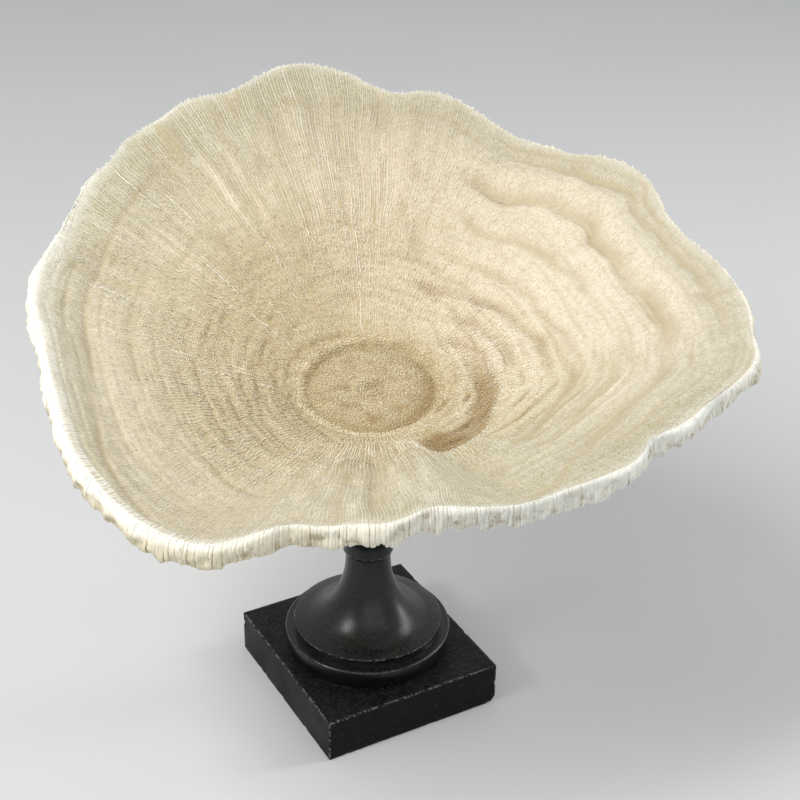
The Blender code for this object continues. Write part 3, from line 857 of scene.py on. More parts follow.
@dataclass
class CoralBody:
    """The coral's closed body, from the floor over the rim to the bored, sawn foot."""

    skin: Skin
    columns: int = 400
    zone_rows: tuple[int, ...] = (20, 134, 10, 22, 9)
    floor_power: float = 0.72
    bore_radius: float = 0.0033
    bore_depth: float = 0.0243

    def rows(self) -> Array:
        """The way out of each ring of vertices: floor, wall, edge, underside and stalk."""
        shares = [np.linspace(0, 1, count + 1)[1:] for count in self.zone_rows]
        shares[0] = shares[0] ** self.floor_power
        return np.concatenate([start + share for start, share in enumerate(shares, -1)])

    def build(self) -> Object:
        """Makes the body.

        Returns:
            The piece, with its masks as vertex attributes.
        """
        form = self.skin.form
        rows = self.rows()
        bearings = np.arange(self.columns) * tau / self.columns
        bearing, along = np.meshgrid(bearings, rows, indexing="ij")
        along_inside = np.where(np.isin(along, (0.0, 1.0, 2.0, 3.0)), along - 1e-6, along)
        grid = self.skin.at(along_inside, bearing)
        foot = form.heading(bearings) * self.bore_radius + np.array((0.0, 0.0, form.foot_height))
        bore = np.stack((foot, foot + np.array((0.0, 0.0, self.bore_depth))), axis=1)
        grid = np.concatenate((grid, bore), axis=1)
        count = grid.shape[1]
        middle = self.skin.at(np.array([-1.0]), np.array([0.0]))
        places = np.concatenate((grid.reshape(-1, 3), middle))
        number = np.arange(self.columns * count).reshape(self.columns, count)
        following = np.roll(number, -1, axis=0)
        corners = (number[:, :-1], number[:, 1:], following[:, 1:], following[:, :-1])
        quads = np.stack(corners, axis=-1).reshape(-1, 4)
        centre = np.full(self.columns, len(places) - 1)
        fan = np.stack((centre, number[:, 0], following[:, 0]), axis=-1)
        cap = number[::-1, -1][None, :]
        spare = np.full((self.columns, 2), 4.0)
        all_along = np.concatenate((np.concatenate((along, spare), axis=1).ravel(), [-1.0]))
        all_bearing = np.concatenate((np.repeat(bearings, count), [0.0]))
        crest = 0.25 * self.skin.wornness(all_along, all_bearing)
        masks = self.skin.masks(all_along, all_bearing, crest)
        return mesh_object(Piece.BODY.value, places, (quads, fan, cap), masks)


@dataclass(frozen=True)
class BladeRun:
    """One radial blade: its seed bearing, the way out at which it starts, and its rank."""

    seed_bearing: float
    start: float
    rank: int


@dataclass
class Blades:
    """The radial blades of the inner wall, cut into beads that lie in rows and drift into grains."""

    skin: Skin
    first_count: int = 150
    most_spacing: float = 0.0021
    bead_pitch: float = 0.00104
    mean_run: float = 0.124
    half_width: float = 0.00040
    height: float = 0.00078
    sink: float = 0.00020
    drift: float = 0.00042
    sectors: int = 6
    seed: int = 5
    swings: Rows = ((0.030, 3, 0, 0.8), (0.020, 7, 0, 2.1))
    wobbles: Rows = ((0.003, 5, 17, 0.0), (0.002, 9, 31, 0.0))
    lined: tuple[Patch, ...] = (Patch(0.75, 118, 40, 0.25, 0.35), Patch(0.30, 275, 32))
    taller: Patch = Patch(0.28, 88, 42, 0.12, 0.1, 0.92)

    def lean(self, along: Array, seed_bearing: Array) -> Array:
        """Bearing of a blade at a way out, as it fans and leans over the folds."""
        place = np.clip(along, 0.0, 1.0)
        away = place * (1 - 0.35 * place)
        swing = waves(self.swings, seed_bearing, place)
        swing = swing + 0.010 * np.sin(13 * seed_bearing + 9 * place) * place
        wobble = waves(self.wobbles, seed_bearing, place) * window(place, 0.0, 1.0, 0.2)
        return seed_bearing + away * swing + wobble

    def runs(self) -> list[BladeRun]:
        """Lays out the blades: a new one starts wherever two neighbours have spread too far.

        Returns:
            Every blade's seed bearing, start and rank.
        """
        draw = np.random.default_rng(self.seed)
        seeds = np.arange(self.first_count) + draw.uniform(-0.22, 0.22, self.first_count)
        runs = [BladeRun(seed, draw.uniform(-0.03, 0.02), 0) for seed in seeds * tau / self.first_count]
        ways = np.linspace(0.0, 1.0, 120)
        start = self.skin.form.wall_start()
        for rank in (1, 2, 3):
            laid = []
            for run, following in zip(runs, runs[1:] + runs[:1]):
                here, after = run.seed_bearing, following.seed_bearing
                after += tau if after < here else 0.0
                middle = 0.5 * (here + after) + draw.uniform(-0.10, 0.10) * (after - here)
                ends = (self.lean(ways, np.full_like(ways, end)) for end in (after, here))
                gap = next(ends) - next(ends)
                reach = start + (self.skin.form.rim_reach(np.full_like(ways, middle)) - start) * ways
                wide = gap * reach > self.most_spacing * draw.uniform(0.85, 1.20)
                first = ways[int(np.argmax(wide))] if wide.any() else 1.0
                laid.append(run)
                if first < 0.97:
                    laid.append(BladeRun(middle, max(first, run.start, following.start), rank))
            runs = laid
        return [BladeRun(run.seed_bearing % tau, run.start, run.rank) for run in runs]

    def graininess(self, along: Array, bearing: Array) -> Array:
        """How far the rows break up: 1 low on the wall and on the left, less up the far wall."""
        lined = patchwork(self.lined, along, bearing) + 0.6 * ease((along - 0.78) / 0.15)
        clouds = 0.22 * LUMPS.at(np.stack((along * 0.13, bearing * 0.11, along * 0.0), axis=-1))
        return np.clip(1.0 - lined + clouds, 0.12, 1.0)

    def bright_runs(self, ways: Array, seeds: Array, draw: np.random.Generator) -> Array:
        """Stretches where a blade stands taller and paler than its neighbours.

        Args:
            ways: Way out of each section.
            seeds: Seed bearing of each blade.
            draw: Source of chance.

        Returns:
            Weights from 0 to 1, a row for each blade.
        """
        count = len(seeds)
        weights = np.zeros((count, len(ways)))
        for _ in range(3):
            middle = draw.uniform(0.05, 0.98, (count, 1))
            length = draw.uniform(0.03, 0.13, (count, 1))
            chosen = draw.uniform(0, 1, (count, 1)) < 0.02 + 0.12 * bump(seeds, 150, 62)[:, None]
            inside = ease((length - np.abs(ways[None, :] - middle)) / 0.02)
            weights = np.maximum(weights, chosen * inside)
        return weights

    def build(self) -> list[Object]:
        """Makes the blades, in one piece for each sector of the dish.

        Returns:
            The pieces.
        """
        draw = np.random.default_rng(self.seed + 1)
        runs = self.runs()
        step = self.bead_pitch / 2 / self.mean_run
        ways = np.arange(-0.05, 1.012, step)
        seeds = np.array([run.seed_bearing for run in runs])
        starts = np.array([run.start for run in runs])
        seed, along = np.meshgrid(seeds, ways, indexing="ij")
        bearing = self.lean(along, seed)
        grainy = self.graininess(along, bearing)
        reach = self.skin.form.wall_start() + self.mean_run * np.clip(along, 0, 1)
        drift = draw.normal(0, 1, along.shape)
        drift = drift + 0.9 * np.roll(drift, 1, axis=1) + 0.6 * np.roll(drift, 2, axis=1)
        inner = window(along, -0.04, 1.0, 0.04)
        bearing = bearing + drift * 0.5 * self.drift * grainy * inner / reach
        along = along + step * draw.uniform(-0.35, 0.35, along.shape) * inner
        tall = self.bright_runs(ways, seeds, draw)
        bead = np.where(np.arange(len(ways)) % 2 == 0, 1.0, 0.42 - 0.24 * grainy)
        chance = 1 + (0.35 + 0.65 * grainy) * draw.uniform(-0.75, 0.45, along.shape)
        rank = np.array([run.rank for run in runs])[:, None]
        order = np.choose(rank, (1.15, 1.05, 0.85, 0.62)) * draw.uniform(0.85, 1.15, (len(runs), 1))
        share = np.clip(bead * np.clip(chance, 0.12, 1.5) * order * (1 + 0.45 * tall), 0.06, 1.9)
        grown = np.maximum(ease((along - starts[:, None]) / 0.03), 0.05)
        grown = grown * (1 - 0.8 * ease((ways - 0.985) / 0.02))
        worn = self.skin.wornness(along, bearing)
        height = self.height * share * grown * (1 - worn)
        height = height * (1 + self.taller.at(along, bearing))
        half = self.half_width * draw.uniform(0.85, 1.15, (len(runs), 1)) * (0.75 + 0.25 * share)
        rings = ridge(self.skin.frame_at(along, bearing), half, height, self.sink)
        LOG.info("blades: %d", len(runs))
        pale = (np.clip(share, 0.0, 1.0) + 0.4 * tall) * (1 - worn) + 0.48 * worn
        # The crest of each section is marked for the painted highlight and its feet for the painted shade;
        # worn beads are marked evenly.
        marks = np.stack((0.25 * worn, pale, 0.25 * worn), axis=2)
        sector = np.floor(seeds / tau * self.sectors).astype(int)
        made = []
        for number in range(self.sectors):
            chosen = np.nonzero(sector == number)[0]
            firsts = np.searchsorted(ways, starts[chosen])
            strips = Strips(self.skin, along[chosen], bearing[chosen], rings[chosen], marks[chosen], firsts)
            made.append(strips.build(f"{Piece.BLADES.value}_{number + 1}"))
        return made


def inside_box(places: Array) -> Array:
    """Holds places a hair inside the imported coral's box."""
    low, high = (np.array(corner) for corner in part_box("coral"))
    return np.clip(places, low + 0.05 * MM, high - 0.05 * MM)


def ridge(surface: tuple[Array, Array, Array], half: Array, rise: Array, sink: float) -> Array:
    """Corners of ridges on a surface.

    Args:
        surface: Places, sideways directions and normals, as Skin.frame_at gives them.
        half: Half the width of each section.
        rise: Height of each section.
        sink: How deep both feet stand in the surface.

    Returns:
        One foot, the crest and the other foot of every section.
    """
    place, beside, normal = surface
    base = place - normal * sink
    aside = beside * half[..., None]
    return np.stack((base - aside, inside_box(place + normal * rise[..., None]), base + aside), axis=2)


@dataclass
class Strips:
    """Closed strips that share one count of corners round each section.

    Each array has a row for each strip and a column for each section; rings and marks also have
    the corners on their third axis. A strip starts at its first section.
    """

    skin: Skin
    along: Array
    bearing: Array
    rings: Array
    marks: Array
    firsts: Array

    def build(self, name: str) -> Object:
        """Makes all the strips as one piece.

        Args:
            name: Name of the piece.

        Returns:
            The piece.
        """
        corners = self.rings.shape[2]
        columns = np.arange(self.rings.shape[1])[None, :] >= self.firsts[:, None]
        places = self.rings[columns].reshape(-1, 3)
        number = np.cumsum(columns.ravel()).reshape(columns.shape) - 1
        here = number[:, :-1][columns[:, :-1]] * corners
        quads = []
        for corner in range(corners):
            after = (corner + 1) % corners
            steps = (corner, corners + corner, corners + after, after)
            quads.append(np.stack([here + step for step in steps], axis=-1))
        spread = np.arange(corners)[None, :]
        start = number[np.arange(len(self.firsts)), self.firsts][:, None] * corners + spread
        end = number[:, -1][:, None] * corners + spread[:, ::-1]
        all_along = np.repeat(self.along[columns], corners)
        all_bearing = np.repeat(self.bearing[columns], corners)
        masks = self.skin.masks(all_along, all_bearing, self.marks[columns].ravel())
        return mesh_object(name, places, (np.concatenate(quads), start, end), masks)


@dataclass
class EdgeRibs:
    """Plump ribs side by side over the rim's edge, each from a fine spine to a rounded foot."""

    skin: Skin
    spacing: float = 0.00118
    half_width: float = 0.00078
    height: float = 0.00031
    sink: float = 0.00035
    spine: float = 0.00085
    corners: int = 6
    sections: int = 17
    spread: tuple[Pair, ...] = ((0, 0.95), (0.16, 1.0), (0.40, 1.16), (0.85, 1.94), (1, 2.10))
    softened: tuple[Patch, ...] = (Patch(1.0, 215, 42), Patch(1.0, 322, 34))
    seed: int = 9

    def seeds(self, draw: np.random.Generator) -> Array:
        """Bearings of the ribs, spaced unevenly along the rim."""
        fine = np.linspace(0, tau, 4001)
        rim = self.skin.at(np.full(4001, 1.3), fine)
        run = np.concatenate(([0.0], np.cumsum(np.linalg.norm(np.diff(rim, axis=0), axis=1))))
        count = int(run[-1] / self.spacing)
        steps = draw.uniform(0.72, 1.32, count)
        return np.interp(np.cumsum(steps) / steps.sum() * run[-1], run, fine)

    def build(self) -> Object:
        """Makes the ribs.

        Returns:
            The piece.
        """
        draw = np.random.default_rng(self.seed)
        seeds = self.seeds(draw)
        count = len(seeds)
        each = (count, 1)
        ways = np.interp(np.linspace(0, 1, self.sections), *zip(*self.spread))
        far_side = 1 - self.skin.form.plumpness(seeds)[:, None]
        round_side = 1 - bump(seeds, 282, 42)[:, None]
        along = np.broadcast_to(ways, (count, self.sections)).copy()
        along = along + 0.055 * far_side * window(along, 0.90, 1.06, 0.05)
        sway = draw.normal(0, 0.0016, each) + draw.normal(0, 0.0022, each) * (ways - 1)
        bearing = seeds[:, None] + sway
        bunch = BUNCHES.at(self.skin.at(np.full(count, 1.5), seeds))[:, None]
        plump = draw.uniform(0.80, 1.20, each) * (1 + 0.40 * bunch.clip(-1.2, 1.2))
        plump = plump * (1 + 0.10 * far_side)
        soft = np.minimum(1.0, patchwork(self.softened, seeds, seeds))[:, None]
        missing = draw.uniform(0, 1, each) < 0.04 + 0.60 * (bunch < -0.85)
        gone = missing * window(ways, draw.uniform(1.45, 1.7, each), 2.05, 0.15) * (1 - 0.75 * soft)
        on_edge = (0.30 + 0.70 * ease((ways - 0.99) / 0.2)) * ease((2.13 - ways) / 0.10)
        at_spine = hill(ways - 1.05, 0.055)
        ends = draw.uniform(1.84, 2.0, each)
        foot = hill(ways - ends, 0.11) * draw.uniform(0.2, 1.6, each)
        rise = self.height * plump * on_edge * (1 - 0.9 * gone) * (1 + 1.8 * foot)
        rise = rise + self.spine * draw.uniform(-0.5, 1.6, each).clip(0) * at_spine
        rise = rise * (1 - 0.55 * soft)
        tooth = draw.integers(4, 10, each) == np.arange(self.sections)
        teeth = self.spine * draw.uniform(-0.9, 1.1, each).clip(0) * tooth
        rise = rise + teeth * (0.45 + 0.55 * round_side)
        narrow = (0.45 + 0.55 * ease((ways - 1.03) / 0.18)) * (1 - 0.7 * ease((ways - 2.0) / 0.13))
        half = self.half_width * draw.uniform(0.9, 1.2, each) * narrow * (1 + 0.30 * soft)
        place, beside, normal = self.skin.frame_at(along, bearing)
        rings, marks = [], []
        for angle in pi / 2 - tau * (np.arange(self.corners) - 1.5) / self.corners:
            up = rise * max(sin(angle), 0.0) + self.sink * min(sin(angle), 0.0)
            point = place - beside * (half * cos(angle))[..., None] + normal * up[..., None]
            rings.append(inside_box(point))
            # Top corners are marked for the painted highlight, side and under corners for the painted shade.
            marks.append(np.full(along.shape, max(0.0, sin(angle)) ** 0.7))
        marks = np.stack(marks, axis=2) * (1 - 0.8 * gone)[..., None] * draw.uniform(0.35, 1.0, (count, 1, 1))
        marks = np.maximum(marks, 0.72 * soft[..., None])
        LOG.info("rim ribs: %d", count)
        strips = Strips(self.skin, along, bearing, np.stack(rings, axis=2), marks, np.zeros(count, int))
        return strips.build(Piece.RIBS.value)


@dataclass
class UnderRibs:
    """Low costae that run under the dish from the rim's foot towards the stalk."""

    skin: Skin
    count: int = 420
    half_width: float = 0.00060
    height: float = 0.00045
    sink: float = 0.00030
    end_sink: float = 0.00012
    sections: int = 28
    seed: int = 15

    def build(self) -> Object:
        """Makes the costae.

        Returns:
            The piece.
        """
        draw = np.random.default_rng(self.seed)
        seeds = (np.arange(self.count) + draw.uniform(-0.3, 0.3, self.count)) * tau / self.count
        ways = np.linspace(2.02, 3.48, self.sections)
        along = np.broadcast_to(ways, (self.count, self.sections)).copy()
        bearing = seeds[:, None] + 0.02 * np.sin(5 * (ways - 2)) * np.sin(3 * seeds)[:, None]
        every = np.arange(self.count)[:, None]
        ends = np.where(every % 4 == 0, 3.2, np.where(every % 2 == 0, 2.72, 2.42))
        ends = ends + draw.uniform(-0.06, 0.06, (self.count, 1)) * np.where(every % 4 == 0, 3, 1)
        fading = ease((ends - along) / 0.10)
        beads = np.where(np.arange(self.sections) % 2 == 0, 1.0, 0.62)
        share = beads * draw.uniform(0.6, 1.3, along.shape)
        rise = self.height * share * fading - self.end_sink * (1 - fading)
        half = self.half_width * (1 - 0.3 * (along - 2))
        rings = ridge(self.skin.frame_at(along, bearing), half, rise, self.sink)
        level = np.zeros_like(share)
        marks = np.stack((level, np.clip(share * fading, 0, 1), level), axis=2)
        strips = Strips(self.skin, along, bearing, rings, marks, np.zeros(self.count, int))
        return strips.build(Piece.COSTAE.value)


@dataclass
class FloorGrains:
    """Short, plump grains that cover the floor and the foot of the wall in every direction."""

    skin: Skin
    spacing: float = 0.00125
    reach_out: float = 0.0375
    length: float = 0.00075
    width: float = 0.00040
    height: float = 0.00052
    sides: int = 6
    seed: int = 21

    def centres(self, draw: np.random.Generator) -> tuple[Array, Array]:
        """Scatters the grains on a sunflower spiral with some chance."""
        count = int(pi * self.reach_out**2 / (self.spacing**2 * 0.90))
        index = np.arange(count) + 0.5
        reach = self.reach_out * np.sqrt(index / count)
        bearing = index * (pi * (3 - 5**0.5)) + draw.normal(0, 0.25, count) * self.spacing / reach
        reach = reach + draw.normal(0, 0.22, count) * self.spacing
        share = np.clip(reach / self.skin.form.wall_start(), 0.005, 0.995)
        return share - 1, bearing

    def build(self) -> Object:
        """Makes all grains as one piece of small closed domes.

        Returns:
            The piece.
        """
        draw = np.random.default_rng(self.seed)
        along, bearing = self.centres(draw)
        place, beside, normal = self.skin.frame_at(along, bearing)
        outward = np.cross(beside, normal)
        count = len(along)
        spin = draw.uniform(0, pi, count)
        long_way = outward * np.cos(spin)[:, None] + beside * np.sin(spin)[:, None]
        wide_way = np.cross(normal, long_way)
        long_half = self.length * draw.uniform(0.7, 1.3, count)
        wide_half = self.width * draw.uniform(0.8, 1.2, count)
        rise = self.height * draw.uniform(0.6, 1.35, count)
        rings = []
        for lift, spread in ((-0.5, 1.0), (0.35, 0.85), (0.85, 0.45)):
            for side in range(self.sides):
                angle = tau * side / self.sides
                point = place + long_way * (long_half * spread * cos(angle))[:, None]
                point = point + wide_way * (wide_half * spread * sin(angle))[:, None]
                rings.append(point + normal * (rise * lift)[:, None])
        rings.append(place + normal * rise[:, None])
        block = np.stack(rings, axis=1)
        size = block.shape[1]
        base = (np.arange(count) * size)[:, None]
        quads, tips = [], []
        for side in range(self.sides):
            after = (side + 1) % self.sides
            for ring in range(2):
                low, high = ring * self.sides, (ring + 1) * self.sides
                quads.append(base + np.array([[low + side, low + after, high + after, high + side]]))
            top = 2 * self.sides
            tips.append(base + np.array([[top + side, top + after, size - 1]]))
        under = base + np.arange(self.sides)[::-1][None, :]
        # Grain tips are marked for the painted highlight and their feet for the painted shade.
        crest = np.repeat((0.05, 0.45, 0.75, 0.85), (self.sides, self.sides, self.sides, 1))
        masks = self.skin.masks(np.repeat(along, size), np.repeat(bearing, size), np.tile(crest, count))
        faces = (np.concatenate(quads), np.concatenate(tips), under)
        return mesh_object(Piece.GRAINS.value, block.reshape(-1, 3), faces, masks)


def start_fresh() -> None:
    """Leaves nothing selected and the scene in object mode."""
    if bpy.context.mode != "OBJECT":
        bpy.ops.object.mode_set(mode="OBJECT")
    bpy.ops.object.select_all(action="DESELECT")


def place_applied(piece: Object) -> Object:
    """Moves a piece's place, turn and scale into its mesh."""
    start_fresh()
    piece.select_set(True)
    bpy.context.view_layer.objects.active = piece
    bpy.ops.object.transform_apply(location=True, rotation=True, scale=True)
    return piece


def turned(name: str, outline: Sequence[Pair], sides: int) -> Object:
    """Turns a solid by drawing one ring out and down along an outline.

    Args:
        name: Name of the object.
        outline: Pairs of radius and height, from the first cap to the last.
        sides: How many sides the ring has.

    Returns:
        The closed object, with its normals outwards.
    """
    start_fresh()
    radius, height = outline[0]
    start = (0, 0, height)
    bpy.ops.mesh.primitive_circle_add(vertices=sides, radius=radius, fill_type="NGON", location=start)
    made = bpy.context.object
    made.name = made.data.name = name
    place_applied(made)
    bpy.ops.object.mode_set(mode="EDIT")
    bpy.ops.mesh.select_all(action="SELECT")
    for next_radius, next_height in outline[1:]:
        bpy.ops.mesh.extrude_region_move(TRANSFORM_OT_translate={"value": (0, 0, next_height - height)})
        share = next_radius / radius
        bpy.ops.transform.resize(value=(share, share, 1), center_override=(0, 0, next_height))
        radius, height = next_radius, next_height
    bpy.ops.mesh.select_all(action="SELECT")
    bpy.ops.mesh.normals_make_consistent(inside=False)
    return made


def soften_corners(sharper_than: float, offset: float, segments: int) -> None:
    """Bevels the sharp edges of the piece in edit mode, and shades it smooth."""
    bpy.ops.mesh.select_mode(type="EDGE")
    bpy.ops.mesh.select_all(action="DESELECT")
    bpy.ops.mesh.edges_select_sharp(sharpness=radians(sharper_than))
    bpy.ops.mesh.bevel(offset=offset, segments=segments, affect="EDGES", clamp_overlap=True)
    bpy.ops.object.mode_set(mode="OBJECT")
    bpy.ops.object.shade_smooth_by_angle(angle=radians(SMOOTH_TO))


@dataclass
class Socle:
    """The turned, ebonised socle with its saucer, neck, skirt and drum."""

    foot: float
    drum_foot_radius: float = 0.0421
    drum_radius: float = 0.0431
    drum_height: float = 0.0112
    ledge_radius: float = 0.0380
    skirt_radius: float = 0.0387
    skirt_height: float = 0.0155
    neck_radius: float = 0.0116
    neck_height: float = 0.0535
    collar_radius: float = 0.0131
    collar_height: float = 0.0600
    saucer_radius: float = 0.0210
    saucer_edge: float = 0.0022
    edge_drop: float = 0.0012
    collar_depth: float = 0.0028
    ledge_groove: float = 0.0006
    drum_ease: float = 0.0008
    height: float = 0.0757
    bore_radius: float = 0.0033
    bore_depth: float = 0.0243
    sides: int = 128

    def sweep(self, centre: Pair, radii: Pair, angles: Pair, steps: int) -> list[Pair]:
        """Points along an elliptical arc."""
        found = []
        for step in range(steps + 1):
            angle = radians(angles[0] + (angles[1] - angles[0]) * step / steps)
            found.append((centre[0] + radii[0] * cos(angle), centre[1] + radii[1] * sin(angle)))
        return found

    def outline(self) -> list[Pair]:
        """The turned outline from the floor of the bore, over the top and down to the foot.

        Returns:
            Pairs of radius and height.
        """
        top = self.height
        cove_foot = self.collar_height + self.edge_drop
        cove_rise = top - self.saucer_edge - cove_foot
        reach = self.saucer_radius - self.collar_radius
        skirt_reach = self.skirt_radius - self.neck_radius
        skirt_rise = self.neck_height - self.skirt_height
        drum = self.drum_height
        points = (
            (self.bore_radius, top - self.bore_depth),
            (self.bore_radius, top),
            (self.saucer_radius, top),
            *self.sweep((self.saucer_radius, cove_foot), (-reach, cove_rise), (90, 0), 10),
            (self.collar_radius, self.collar_height - self.edge_drop),
            (self.neck_radius, self.collar_height - self.collar_depth),
            *self.sweep((self.skirt_radius, self.neck_height), (-skirt_reach, -skirt_rise), (0, 78), 26),
            (self.skirt_radius, self.skirt_height),
            (self.ledge_radius, self.skirt_height - self.edge_drop),
            (self.ledge_radius, drum - self.ledge_groove),
            (self.drum_radius - self.drum_ease, drum),
            (self.drum_radius, drum - self.drum_ease),
            (self.drum_foot_radius, 0.0),
        )
        return [(radius, height + self.foot) for radius, height in points]

    def worn_and_highlight_rings(self) -> list[Pair]:
        """Radius and height of each edge that shows wear and a painted highlight."""
        return [
            (self.saucer_radius, self.height),
            (self.collar_radius, self.collar_height - self.edge_drop),
            (self.skirt_radius, self.skirt_height),
            (self.drum_radius, self.drum_height),
            (self.drum_foot_radius, 0.0),
        ]

    def build(self) -> Object:
        """Makes the socle."""
        made = turned(Piece.SOCLE.value, self.outline(), self.sides)
        soften_corners(28, 0.00035, 2)
        return made


@dataclass
class Plinth:
    """The square block under the socle, with eased, slightly nicked edges and a chipped corner."""

    width: float = 0.0975
    depth: float = 0.1025
    height: float = 0.0236
    ease_width: float = 0.0009
    chip: float = 0.0035
    cuts: int = 48
    nick_depth: float = 0.00035
    nick_reach: float = 0.0025
    edge_reach: float = 0.0012
    dent_place: Pair = (0.030, 0.020)
    dent_depth: float = 0.0006
    dent_radius: float = 0.0022

    def build(self) -> Object:
        """Makes the block.

        Returns:
            The piece.
        """
        start_fresh()
        bpy.ops.mesh.primitive_cube_add(size=1, location=(0, 0, self.height / 2))
        made = bpy.context.object
        made.name = made.data.name = Piece.PLINTH.value
        bpy.ops.object.mode_set(mode="EDIT")
        bpy.ops.mesh.select_all(action="SELECT")
        bpy.ops.transform.resize(value=(self.width, self.depth, self.height))
        bpy.ops.mesh.subdivide(number_cuts=self.cuts)
        soften_corners(60, self.ease_width, 3)
        place_applied(made)
        self.wear(made)
        return made

    def wear(self, made: Object) -> None:
        """Presses nicks into the edges, chips one lower corner and dents the top.

        Args:
            made: The block.
        """
        mesh = made.data
        places = np.empty(len(mesh.vertices) * 3, np.float32)
        mesh.vertices.foreach_get("co", places)
        places = places.reshape(-1, 3).astype(float)
        half = np.array((self.width / 2, self.depth / 2, self.height / 2))
        middle = np.array((0.0, 0.0, self.height / 2))
        off = places - middle
        gap = np.sort(half - np.abs(off), axis=1)
        near_edge = hill(gap[:, 1], self.edge_reach)
        nicks = np.clip(NICKS.at(places) - 1.1, 0, 1) + 0.05 * np.abs(WEAR.at(places))
        inward = -np.sign(off) * (half - np.abs(off) < self.nick_reach)
        places = places + inward * (near_edge * nicks * self.nick_depth)[:, None]
        corner = middle + half * np.array((1, -1, -1))
        facing = np.array((1.0, -1.0, -1.0)) / 3**0.5
        rough = 0.12 * MM * CHIPS.at(places)
        beyond = (places - corner) @ facing + self.chip / 3**0.5 - rough
        places = places - np.outer(np.maximum(beyond, 0.0), facing)
        top = places[:, 2] > self.height - 0.0001
        away = np.hypot(places[:, 0] - self.dent_place[0], places[:, 1] - self.dent_place[1])
        places[:, 2] -= top * self.dent_depth * hill(away, self.dent_radius)
        mesh.vertices.foreach_set("co", places.astype(np.float32).ravel())
        mesh.update()


class Tree:
    """Adds nodes to a node tree and joins them."""

    def __init__(self, tree: NodeTree) -> None:
        """Keeps the tree."""
        self.tree = tree

    def put(self, value: object, socket: NodeSocket) -> None:
        """Links an output to a socket, or sets the socket to a plain value."""
        if isinstance(value, NodeSocket):
            self.tree.links.new(value, socket)
        else:
            socket.default_value = value

    def fill(self, node: Node, inputs: dict[str | int, object]) -> Node:
        """Puts values or outputs into a node's inputs, by name or number."""
        for key, value in inputs.items():
            self.put(value, node.inputs[key])
        return node

    def add(self, kind: str, inputs: dict[str | int, object] | None = None, **settings: object) -> Node:
        """Adds one node.

        Args:
            kind: The node's Blender name, without its ShaderNode start.
            inputs: Values or output sockets by input name or number.
            **settings: The node's own properties.

        Returns:
            The node.
        """
        node = self.tree.nodes.new(kind if kind.startswith("NodeGroup") else "ShaderNode" + kind)
        for key, value in settings.items():
            setattr(node, key, value)
        return self.fill(node, inputs or {})

    def maths(self, operation: str, *values: object, clamp: bool = False) -> NodeSocket:
        """Adds a Math node and gives its output."""
        inputs = dict(enumerate(values))
        return self.add("Math", inputs, operation=operation, use_clamp=clamp).outputs[0]

    def times(self, first: object, *others: object, clamp: bool = False) -> NodeSocket:
        """Multiplies values, and clamps the last product where asked."""
        for number, value in enumerate(others, 1):
            first = self.maths("MULTIPLY", first, value, clamp=clamp and number == len(others))
        return first

    def span(
        self, value: object, low: float, high: float, to_low: float = 0.0, to_high: float = 1.0
    ) -> NodeSocket:
        """Maps a range of a value to another, eased and clamped."""
        inputs = {"Value": value, "From Min": low, "From Max": high, "To Min": to_low, "To Max": to_high}
        return self.add("MapRange", inputs, interpolation_type="SMOOTHSTEP").outputs["Result"]

    def blend(self, share: object, first: object, second: object, how: str = "MIX") -> NodeSocket:
        """Mixes two colours."""
        inputs = {0: share, 6: first, 7: second}
        return self.add("Mix", inputs, data_type="RGBA", blend_type=how).outputs[2]

    def group(self, group: NodeTree, **inputs: object) -> Node:
        """Places a node group with its own values."""
        return self.add("Group", inputs, node_tree=group)

    def noise(self, vector: object, scale: object, detail: float = 3.0) -> NodeSocket:
        """Adds a noise texture and gives its value."""
        return self.add("TexNoise", {"Vector": vector, "Scale": scale, "Detail": detail}).outputs[0]

    def relief(self, height: object, strength: float, distance: float) -> NodeSocket:
        """Adds a bump and gives its normal."""
        inputs = {"Height": height, "Strength": strength, "Distance": distance}
        return self.add("Bump", inputs).outputs[0]


def new_group(
    name: str, takes: Sequence[tuple[str, str, object]], gives: dict[str, str]
) -> tuple[Tree, list[NodeSocket], Node]:
    """Starts a shader node group with named sockets.

    Args:
        name: Name of the group.
        takes: Name, type and default of each input.
        gives: Type of each output, by name.

    Returns:
        The group's Tree, the sockets that bring its inputs, and its output node.
    """
    group = bpy.data.node_groups.new(name, "ShaderNodeTree")
    for title, kind, default in takes:
        socket = group.interface.new_socket(title, in_out="INPUT", socket_type="NodeSocket" + kind)
        if default is not None:
            socket.default_value = default
    for title, kind in gives.items():
        group.interface.new_socket(title, in_out="OUTPUT", socket_type="NodeSocket" + kind)
    tree = Tree(group)
    given = tree.add("NodeGroupInput").outputs
    return tree, [given[title] for title, _, _ in takes], tree.add("NodeGroupOutput")


def fine_grain_group() -> NodeTree:
    """Group that gives a fine grainy height and a mask of scattered specks."""
    takes = (("Vector", "Vector", None), ("Scale", "Float", 1000.0), ("Specks", "Float", 0.6))
    tree, given, result = new_group("fine_grain", takes, {"Height": "Float", "Speck": "Float"})
    vector, scale, specks = given
    cells = tree.add("TexVoronoi", {"Vector": vector, "Scale": scale}).outputs["Distance"]
    height = tree.maths("ADD", tree.noise(vector, scale, 4.0), tree.times(cells, -0.5))
    spots = tree.noise(vector, tree.times(scale, 0.37), 2.0)
    speck = tree.times(tree.maths("SUBTRACT", spots, specks), 12.0, clamp=True)
    tree.fill(result, {"Height": height, "Speck": speck})
    return tree.tree


